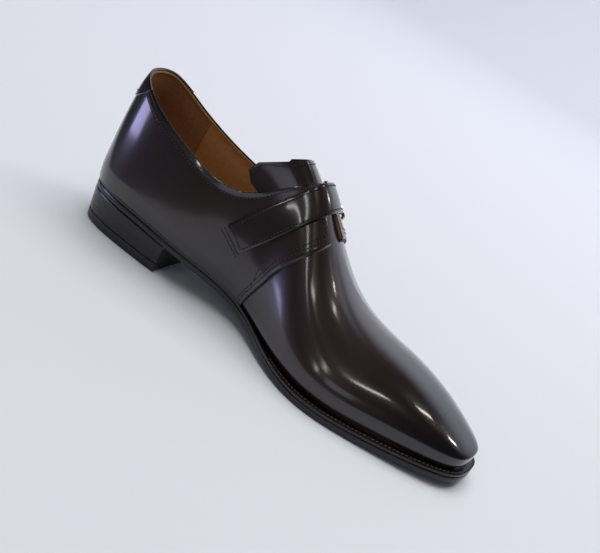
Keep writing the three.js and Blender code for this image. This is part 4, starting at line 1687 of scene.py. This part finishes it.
    def make_buckle(self) -> None:
        """The buckle's frame: a flat-topped bar with rounded corners."""
        path = self.ring_path()
        along = np.roll(path, -1, 0) - np.roll(path, 1, 0)
        across = unit(np.stack([along[:, 1], -along[:, 0], np.zeros(len(path))], -1))
        thin = smoothstep(path[:, 0], self.hinge_girth - 3, self.hinge_girth - 1)
        radius = (self.bar + (self.hinge - self.bar) * thin)[:, None] / 2
        rings = []
        for angle in np.arange(16) * 2 * math.pi / 16:
            c, s = math.cos(angle), math.sin(angle)
            squarer = 1 / (abs(c) ** self.squareness + abs(s) ** self.squareness) ** (1 / self.squareness)
            local = path + across * c * squarer * radius + np.array([0, 0, 1]) * s * squarer * radius
            rings.append(self.band.wrapped(*local.T))
        draft = Draft()
        numbers = draft.add(np.stack(rings, 1))
        draft.weave(np.concatenate([numbers, numbers[:, :1]], 1), wrap=True)
        dress(draft.make("buckle_ring", 60), self.finishes.gilt, "buckle_metal", "buckle_frame")

    def make_prong(self) -> None:
        """The prong, rounded and tapered, lying on the strap."""
        near = self.buckle_girth - self.buckle_length / 2 + self.bar + self.gap
        girth = np.linspace(near, self.hinge_girth - 2.5, 40)
        share = np.linspace(0, 1, 40)
        radius = (self.prong_radius * np.minimum(1, 0.45 + share * 1.4)
                  * np.sqrt(np.clip(share * 40, 0.02, 1)))
        radius[-1] = 0.1
        middle = self.rest_at(girth) + self.thickness + self.gap + self.prong_lift
        sides = 12
        rings = []
        for angle in np.arange(sides) * 2 * math.pi / sides:
            rings.append(self.band.wrapped(
                girth, radius * math.cos(angle), middle + radius * math.sin(angle)))
        grid = np.stack(rings, 1)
        draft = Draft()
        numbers = draft.add(grid)
        draft.weave(np.concatenate([numbers, numbers[:, :1]], 1))
        for end in (0, -1):
            tip = int(draft.add(grid[end].mean(0)[None, :])[0])
            for k in range(sides):
                draft.faces.append((int(numbers[end, k]), int(numbers[end, (k + 1) % sides]), tip))
        dress(draft.make("buckle_pin", 60), self.finishes.gilt, "buckle_metal", "buckle_prong")

    def build(self) -> None:
        """Makes the strap, its chape and the buckle."""
        self.make_strap()
        self.make_chape()
        self.make_buckle()
        self.make_prong()


@dataclass
class SoleUnit:
    """Insole, welt, outsole, stacked heel and its rubber top piece."""

    last: Last
    finishes: Finishes
    seams: Seams
    welt: float = 2.5
    gap: float = 0.3
    outsole: float = 4.0
    top_piece: float = 6.0
    heel_length: float = 76.0
    heel_taper: float = 0.1
    breast: float = 5.0
    stations: int = 480
    insole: float = 3.0
    insole_inset: float = 2.3
    heel_wrap: float = 3.9
    heel_soft: float = 0.35
    groove: float = 0.05
    grooves: tuple[float, float] = (0.36, 0.68)
    welt_start: float = 6.2
    welt_pitch: float = 2.6
    wheel_pitch: float = 1.3
    # length, width and height of a stitch, and of a mark of the wheel
    welt_stitch: tuple[float, float, float] = (2.1, 0.8, 0.7)
    wheel_mark: tuple[float, float, float] = (1.1, 0.75, 0.35)

    def over_bed(self, rise: float) -> Height:
        """Heights at a distance over the footbed, or under it where the distance is negative."""
        return lambda x: self.last.footbed(x) + rise

    def ring(self, out: Array | float, height: Height) -> Array:
        """A ring of points round the sole.

        Args:
            out: Distance outside the last.
            height: Gives a height for each x.

        Returns:
            The points, one for each station.
        """
        u = np.linspace(0, self.last.turn, self.stations, endpoint=False)
        p = self.last.point(u, -1.0, out)
        p[:, 2] = height(p[:, 0] + self.last.origin[0])
        return p

    def reach(self) -> Array:
        """The welt's ledge at each station."""
        u = np.linspace(0, self.last.turn, self.stations, endpoint=False)
        return self.last.ledge(self.last.plan(u)[0])

    def slab(self, rings: list[Array], heights: tuple[Height, Height], columns: int = 14) -> Draft:
        """Closes rings round the sole with caps that follow the footbed.

        Args:
            rings: From the lowest to the highest.
            heights: Heights of the lower and the upper cap for each x.
            columns: How many strips cross the foot.

        Returns:
            The draft of a closed body.
        """
        draft = Draft()
        numbers = [draft.add(ring, 0.5) for ring in rings]
        draft.weave(np.array(numbers).T, wrap=True)
        half = self.stations // 2
        k = np.arange(half + 1)
        for ring, height, rim in ((rings[0], heights[0], numbers[0]), (rings[-1], heights[1], numbers[-1])):
            a, b = ring[k % self.stations], ring[(-k) % self.stations]
            t = np.linspace(0, 1, columns + 1)[None, :, None]
            inside = a[:, None] * (1 - t) + b[:, None] * t
            inside[:, 1:-1, 2] = height(inside[:, 1:-1, 0] + self.last.origin[0])
            grid = draft.add(inside, 0.5)
            grid[:, 0], grid[:, -1] = rim[k % self.stations], rim[(-k) % self.stations]
            draft.weave(grid)
        return draft

    def make_insole(self) -> None:
        """The insole with its tan sock."""
        low, soft, high = (self.over_bed(self.gap + rise) for rise in (0.0, self.insole - 0.4, self.insole))
        rings = [self.ring(-self.insole_inset, low), self.ring(-self.insole_inset, soft),
                 self.ring(-self.insole_inset - 0.6, high)]
        dress(self.slab(rings, (low, high)).make("insole_sock"), self.finishes.lining, "lining_leather",
              "insole")

    def welt_row(self, share: float, inset: float, rise: float, pitch: float) -> Row:
        """Places of what repeats along the welt, from one side of the heel round to the other.

        Args:
            share: Share of the ledge that it lies out at.
            inset: Distance in from there.
            rise: Height over the welt's upper face.
            pitch: Distance from one to the next.

        Returns:
            Points, directions along the welt and upward directions.
        """
        u = np.linspace(self.welt_start, self.last.turn - self.welt_start, 1400)
        line = self.last.point(u, -1.0, self.last.ledge(self.last.plan(u)[0]) * share - inset)
        line[:, 2] = self.over_bed(rise - self.gap)(line[:, 0] + self.last.origin[0])
        return space_points(line, pitch, lambda p: np.broadcast_to(np.array([0.0, 0.0, 1.0]), p.shape))

    def make_welt(self) -> None:
        """The welt, with its edge rounded and a wheeled upper face."""
        reach = self.reach()
        top, base = -self.gap, -self.welt
        inner = [(-6.0, base), (-6.0, top), (reach - 0.9, top)]
        outer = [(reach - 0.5 + out, rise) for out, rise in (
            (0.25, top - 0.08), (0.45, top - 0.3), (0.5, top - 0.6), (0.5, base + 0.3), (0.3, base))]
        draft = Draft()
        numbers = np.array([draft.add(self.ring(out, self.over_bed(rise)), 0.5)
                            for out, rise in inner + outer])
        draft.weave(np.concatenate([numbers, numbers[:1]]).T, wrap=True)
        dress(draft.make("welt_strip"), self.finishes.edge, "sole_leather", "welt")
        self.seams.sew("welt_stitches", [self.welt_row(0.62, 0.0, 0.05, self.welt_pitch)],
                       *self.welt_stitch, self.finishes.welt_thread, "sole_leather")
        at, ahead, square = self.welt_row(1.0, 0.55, -0.05, self.wheel_pitch)
        sideways = np.cross(square, ahead)
        self.seams.sew("welt_wheeling", [(at, sideways, square)], *self.wheel_mark,
                       self.finishes.edge, "sole_leather")

    def make_outsole(self) -> None:
        """The outsole: slightly rounded edge, flat under the ball."""
        reach = self.reach()
        top, base = -self.welt - self.gap, -SOLE_THICKNESS
        rows = [(-1.1, base), (-0.5, base + 0.12), (-0.15, base + 0.45), (0.0, base + 0.95),
                (0.0, top - 0.35), (-0.12, top - 0.1), (-0.35, top)]
        rings = [self.ring(reach + out, self.over_bed(rise)) for out, rise in rows]
        draft = self.slab(rings, (self.over_bed(base), self.over_bed(top)))
        dress(draft.make("outsole_leather"), self.finishes.edge, "sole_leather", "outsole")

    def heel_block(self, name: str, low: Height, high: Height,
                   grooves: tuple[float, ...]) -> bpy.types.Object:
        """A block of the heel, tapered towards the floor and cut hollow at the breast.

        Args:
            name: Name of the piece.
            low: Height of its underside for each x.
            high: Height of its upper face for each x.
            grooves: Heights of the lines between its lifts, as shares of its own.

        Returns:
            The finished object.
        """
        def lift(x: Array, level: float) -> Array:
            """Height of a level of the block for each x."""
            return low(x) + (high(x) - low(x)) * level

        def breast_x(y: Array) -> Array:
            """How far forward the hollow breast lies for each y."""
            return self.heel_length - self.breast * (1 - (y / (BALL_WIDTH / 2)) ** 2)

        origin = self.last.origin
        q = np.linspace(0, self.heel_wrap, 150)
        u = np.concatenate([self.last.turn - q[::-1], q[1:]])
        reach = self.last.ledge(self.last.plan(u)[0])
        across = np.linspace(0, 1, 14)[1:-1, None]
        lines = (groove + step for groove in grooves for step in (-0.02, 0.0, 0.02))
        draft, rings = Draft(), []
        for level in (0.0, 0.03, 0.08, *lines, 0.92, 0.97, 1.0):
            x = self.last.point(u, -1.0, reach)[:, 0] + origin[0]
            drop = self.last.footbed(x) - SOLE_THICKNESS - lift(x, level)
            to_end = min(level, 1 - level)
            soft = self.heel_soft * (1 - to_end / 0.08) ** 2 if to_end < 0.08 else 0.0
            notch = self.groove if level in grooves else 0.0
            p = self.last.point(u, -1.0, reach - self.heel_taper * drop - notch - soft)
            x = np.minimum(p[:, 0] + origin[0], breast_x(p[:, 1] + origin[1]) - soft)
            p[:, 0], p[:, 2] = x - origin[0], lift(x, level)
            front = p[-1] * (1 - across) + p[0] * across
            x = breast_x(front[:, 1] + origin[1])
            front[:, 0], front[:, 2] = x - origin[0], lift(x, level)
            rings.append(draft.add(np.concatenate([p, front]), 0.5))
        numbers = np.array(rings)
        draft.weave(np.concatenate([numbers, numbers[:, :1]], 1).T)
        for rim in (numbers[0], numbers[-1]):
            draft.faces.append(tuple(int(k) for k in rim))
        piece = draft.make(name)
        work = bmesh.new()
        work.from_mesh(piece.data)
        bmesh.ops.triangulate(work, faces=[f for f in work.faces if len(f.verts) > 4])
        work.to_mesh(piece.data)
        work.free()
        return piece

    def make_heel(self) -> None:
        """The stacked lifts and the rubber top piece."""
        under = self.over_bed(-SOLE_THICKNESS - self.gap)

        def flat(height: float) -> Height:
            """A level, kept under the outsole where that dips below it."""
            return lambda x: np.minimum(height, under(x) - 1)

        stack = self.heel_block("heel_lifts", flat(self.top_piece + self.gap), under, self.grooves)
        dress(stack, self.finishes.edge, "sole_leather", "heel_stack")
        piece = self.heel_block("heel_rubber", np.zeros_like, flat(self.top_piece), ())
        dress(piece, self.finishes.rubber, "heel_rubber", "heel_top_piece")

    def build(self) -> None:
        """Makes every piece under the foot."""
        self.make_insole()
        self.make_welt()
        self.make_outsole()
        self.make_heel()


@dataclass(frozen=True)
class View:
    """The camera's place about the shoe, in degrees, millimetres and pixels."""

    azimuth: float = 17.29
    elevation: float = 21.28
    roll: float = 29.57
    distance: float = 584.86
    focal_pixels: float = 950.0
    aim: tuple[float, float, float] = (1.353, -0.144, 45.0)
    frame_width: int = 600
    sensor: float = 36.0
    clip: tuple[float, float] = (0.01, 50.0)

    def build(self) -> None:
        """Makes the camera, rolled about its own axis."""
        a, e, r = (math.radians(k) for k in (self.azimuth, self.elevation, self.roll))
        back = Vector((math.sin(a) * math.cos(e), -math.cos(a) * math.cos(e), math.sin(e)))
        right = Vector((math.cos(a), math.sin(a), 0.0))
        up = back.cross(right)
        right, up = right * math.cos(r) + up * math.sin(r), up * math.cos(r) - right * math.sin(r)
        data = bpy.data.cameras.new("camera")
        data.sensor_width = self.sensor
        data.lens = self.focal_pixels / self.frame_width * self.sensor
        data.clip_start, data.clip_end = self.clip
        camera = new_object("camera", data)
        place = Matrix((right, up, back)).transposed().to_4x4()
        place.translation = Vector(self.aim) * MM + back * self.distance * MM
        camera.matrix_world = place
        bpy.context.scene.camera = camera


Triple = tuple[float, float, float]


@dataclass(frozen=True)
class Studio:
    """A white paper sweep and lamps that hang where the polished leather mirrors them.

    Most are small or narrow, so that each draws its own highlight. Two wide ones only fill the
    shadows and are left out of the leather's reflections.
    """

    paper: str = "#eceef3"
    sky: str = "#c9cfe2"
    sky_strength: float = 0.1
    tube_height: float = 1.5
    tube_width: float = 0.08
    tube_turn: float = 69.0
    # name, place over the floor, length, power
    tubes: tuple[tuple[str, float, float, float, float], ...] = (
        ("lamp_behind_ball", 0.38, -0.85, 0.36, 1.5),
        ("lamp_over_vamp", 0.65, 0.42, 0.42, 1.6),
        ("lamp_past_toe", 1.14, 1.22, 0.5, 3.6))
    # place, width and length, power, turn
    fill: tuple[Triple, tuple[float, float], float, Triple] = (
        (-0.2, 0.1, 2.6), (2.4, 2.4), 50.0, (0.0, 0.0, 0.0))
    wash: tuple[Triple, tuple[float, float], float, Triple] = (
        (0.0, 1.4, 2.4), (3.0, 0.6), 40.0, (50.0, 0.0, 0.0))
    window: tuple[Triple, tuple[float, float], float, Triple] = (
        (-0.597, -0.299, -0.025), (0.2, 0.11), 0.8, (101.0, 0.0, -60.0))
    # azimuth, elevation, distance, width and height, power
    far_tube: tuple[float, float, float, tuple[float, float], float] = (-104.0, 20.0, 3.8, (0.13, 0.7), 3.8)
    near_tube: tuple[float, float, float, tuple[float, float], float] = (-95.0, 38.0, 2.4, (0.11, 0.5), 1.8)
    room_panel: tuple[float, float, float, tuple[float, float], float] = (-82.0, 17.0, 3.0, (1.0, 0.8), 3.4)
    tube_colour: str = "#fffaf2"
    fill_colour: str = "#fdfdff"
    wash_colour: str = "#eef1ff"
    window_colour: str = "#b9b6ee"
    panel_colour: str = "#e2e2f0"
    sweep_back: float = 2.4
    sweep_radius: float = 0.9
    sweep_top: float = 4.0
    reach: float = 12.0
    corner: tuple[float, float] = (0.035, -0.315)
    left_slope: float = -0.969
    right_slope: float = 1.558

    def lamp(self, name: str, at: tuple[float, float, float], size: tuple[float, float], watts: float,
             turned: tuple[float, float, float], colour: str = "#ffffff", mirrored: bool = True) -> None:
        """Adds a soft box.

        Args:
            name: Its name.
            at: Where it hangs, in metres.
            size: Its width and length.
            watts: Its power.
            turned: Its rotation in degrees.
            colour: Its colour.
            mirrored: Whether polished leather shows it; a bounced fill has no shape to show.
        """
        data = bpy.data.lights.new(name, "AREA")
        data.shape = "RECTANGLE"
        data.size, data.size_y = size
        data.energy = watts
        data.color = hex_colour(colour)[:3]
        lamp = new_object(name, data)
        lamp.location = at
        lamp.rotation_euler = tuple(math.radians(k) for k in turned)
        lamp.visible_glossy = mirrored

    def make_sweep(self) -> None:
        """The paper: flat under the shoe, cut to a corner in front, and curved up behind."""
        arc = np.linspace(0, math.pi / 2, 25)
        x0, y0 = self.corner
        fold = self.sweep_back - 0.001
        cuts = [x0 + (self.sweep_back - y0) / slope for slope in (self.left_slope, self.right_slope)]
        points = []
        for x, front in ((-self.reach, fold), (cuts[0], fold), (x0, y0), (cuts[1], fold), (self.reach, fold)):
            y = np.concatenate([[front], self.sweep_back + self.sweep_radius * np.sin(arc),
                                [self.sweep_back + self.sweep_radius]])
            z = np.concatenate([[0.0], self.sweep_radius * (1 - np.cos(arc)), [self.sweep_top]])
            points += [(x, float(a), float(b)) for a, b in zip(y, z)]
        n = len(arc) + 2
        faces = [(k * n + i, (k + 1) * n + i, (k + 1) * n + i + 1, k * n + i + 1)
                 for k in range(4) for i in range(n - 1)]
        mesh = bpy.data.meshes.new("studio_sweep")
        mesh.from_pydata(points, [], faces)
        mesh.shade_smooth()
        sweep = new_object("studio_sweep", mesh)
        material, _, principled = shader("studio_paper")
        principled.inputs["Base Color"].default_value = hex_colour(self.paper)
        principled.inputs["Roughness"].default_value = 0.9
        principled.inputs["Specular IOR Level"].default_value = 0.2
        mesh.materials.append(material)

    def build(self) -> None:
        """Makes the paper, the world and the lamps."""
        self.make_sweep()
        bpy.context.scene.view_settings.view_transform = "Standard"
        world = bpy.data.worlds.new("studio")
        bpy.context.scene.world = world
        world.use_nodes = True
        sky = world.node_tree.nodes["Background"]
        sky.inputs["Color"].default_value = hex_colour(self.sky)
        sky.inputs["Strength"].default_value = self.sky_strength
        for name, x, y, length, watts in self.tubes:
            self.lamp(name, (x, y, self.tube_height), (length, self.tube_width), watts,
                      (0, 0, self.tube_turn), self.tube_colour)
        self.lamp("bounced_fill", *self.fill, self.fill_colour, False)
        self.aimed("far_tube", *self.far_tube)
        self.aimed("near_tube", *self.near_tube)
        self.lamp("lilac_window", *self.window, self.window_colour)
        self.aimed("room_panel", *self.room_panel, self.panel_colour)
        self.lamp("wall_wash", *self.wash, self.wash_colour, False)

    def aimed(self, name: str, azimuth: float, elevation: float, distance: float,
              size: tuple[float, float], watts: float, colour: str = "#ffffff") -> None:
        """Adds a soft box that faces the shoe.

        Args:
            name: Its name.
            azimuth: Its direction from the shoe, in degrees from the toe towards the lateral side.
            elevation: Its height over the floor, in degrees.
            distance: Its distance, in metres.
            size: Its width and height.
            watts: Its power.
            colour: Its colour.
        """
        a, e = math.radians(azimuth), math.radians(elevation)
        at = tuple(distance * k for k in (math.cos(a) * math.cos(e), math.sin(a) * math.cos(e), math.sin(e)))
        self.lamp(name, at, size, watts, (90 - elevation, 0, azimuth + 90), colour)


def main() -> None:
    """Builds the shoe from the last outwards, then the studio and the camera."""
    logging.basicConfig(level=logging.INFO, format="%(name)s %(message)s")
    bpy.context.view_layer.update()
    last = Last()
    pattern = Pattern(last)
    finishes = Finishes()
    seams = Seams(last)
    Upper(last, pattern, finishes, seams).build()
    Tongue(last, pattern, finishes, seams).build()
    StrapAndBuckle(Band(last), finishes, seams).build()
    SoleUnit(last, finishes, seams).build()
    Studio().build()
    View().build()


if __name__ == "__main__":
    main()
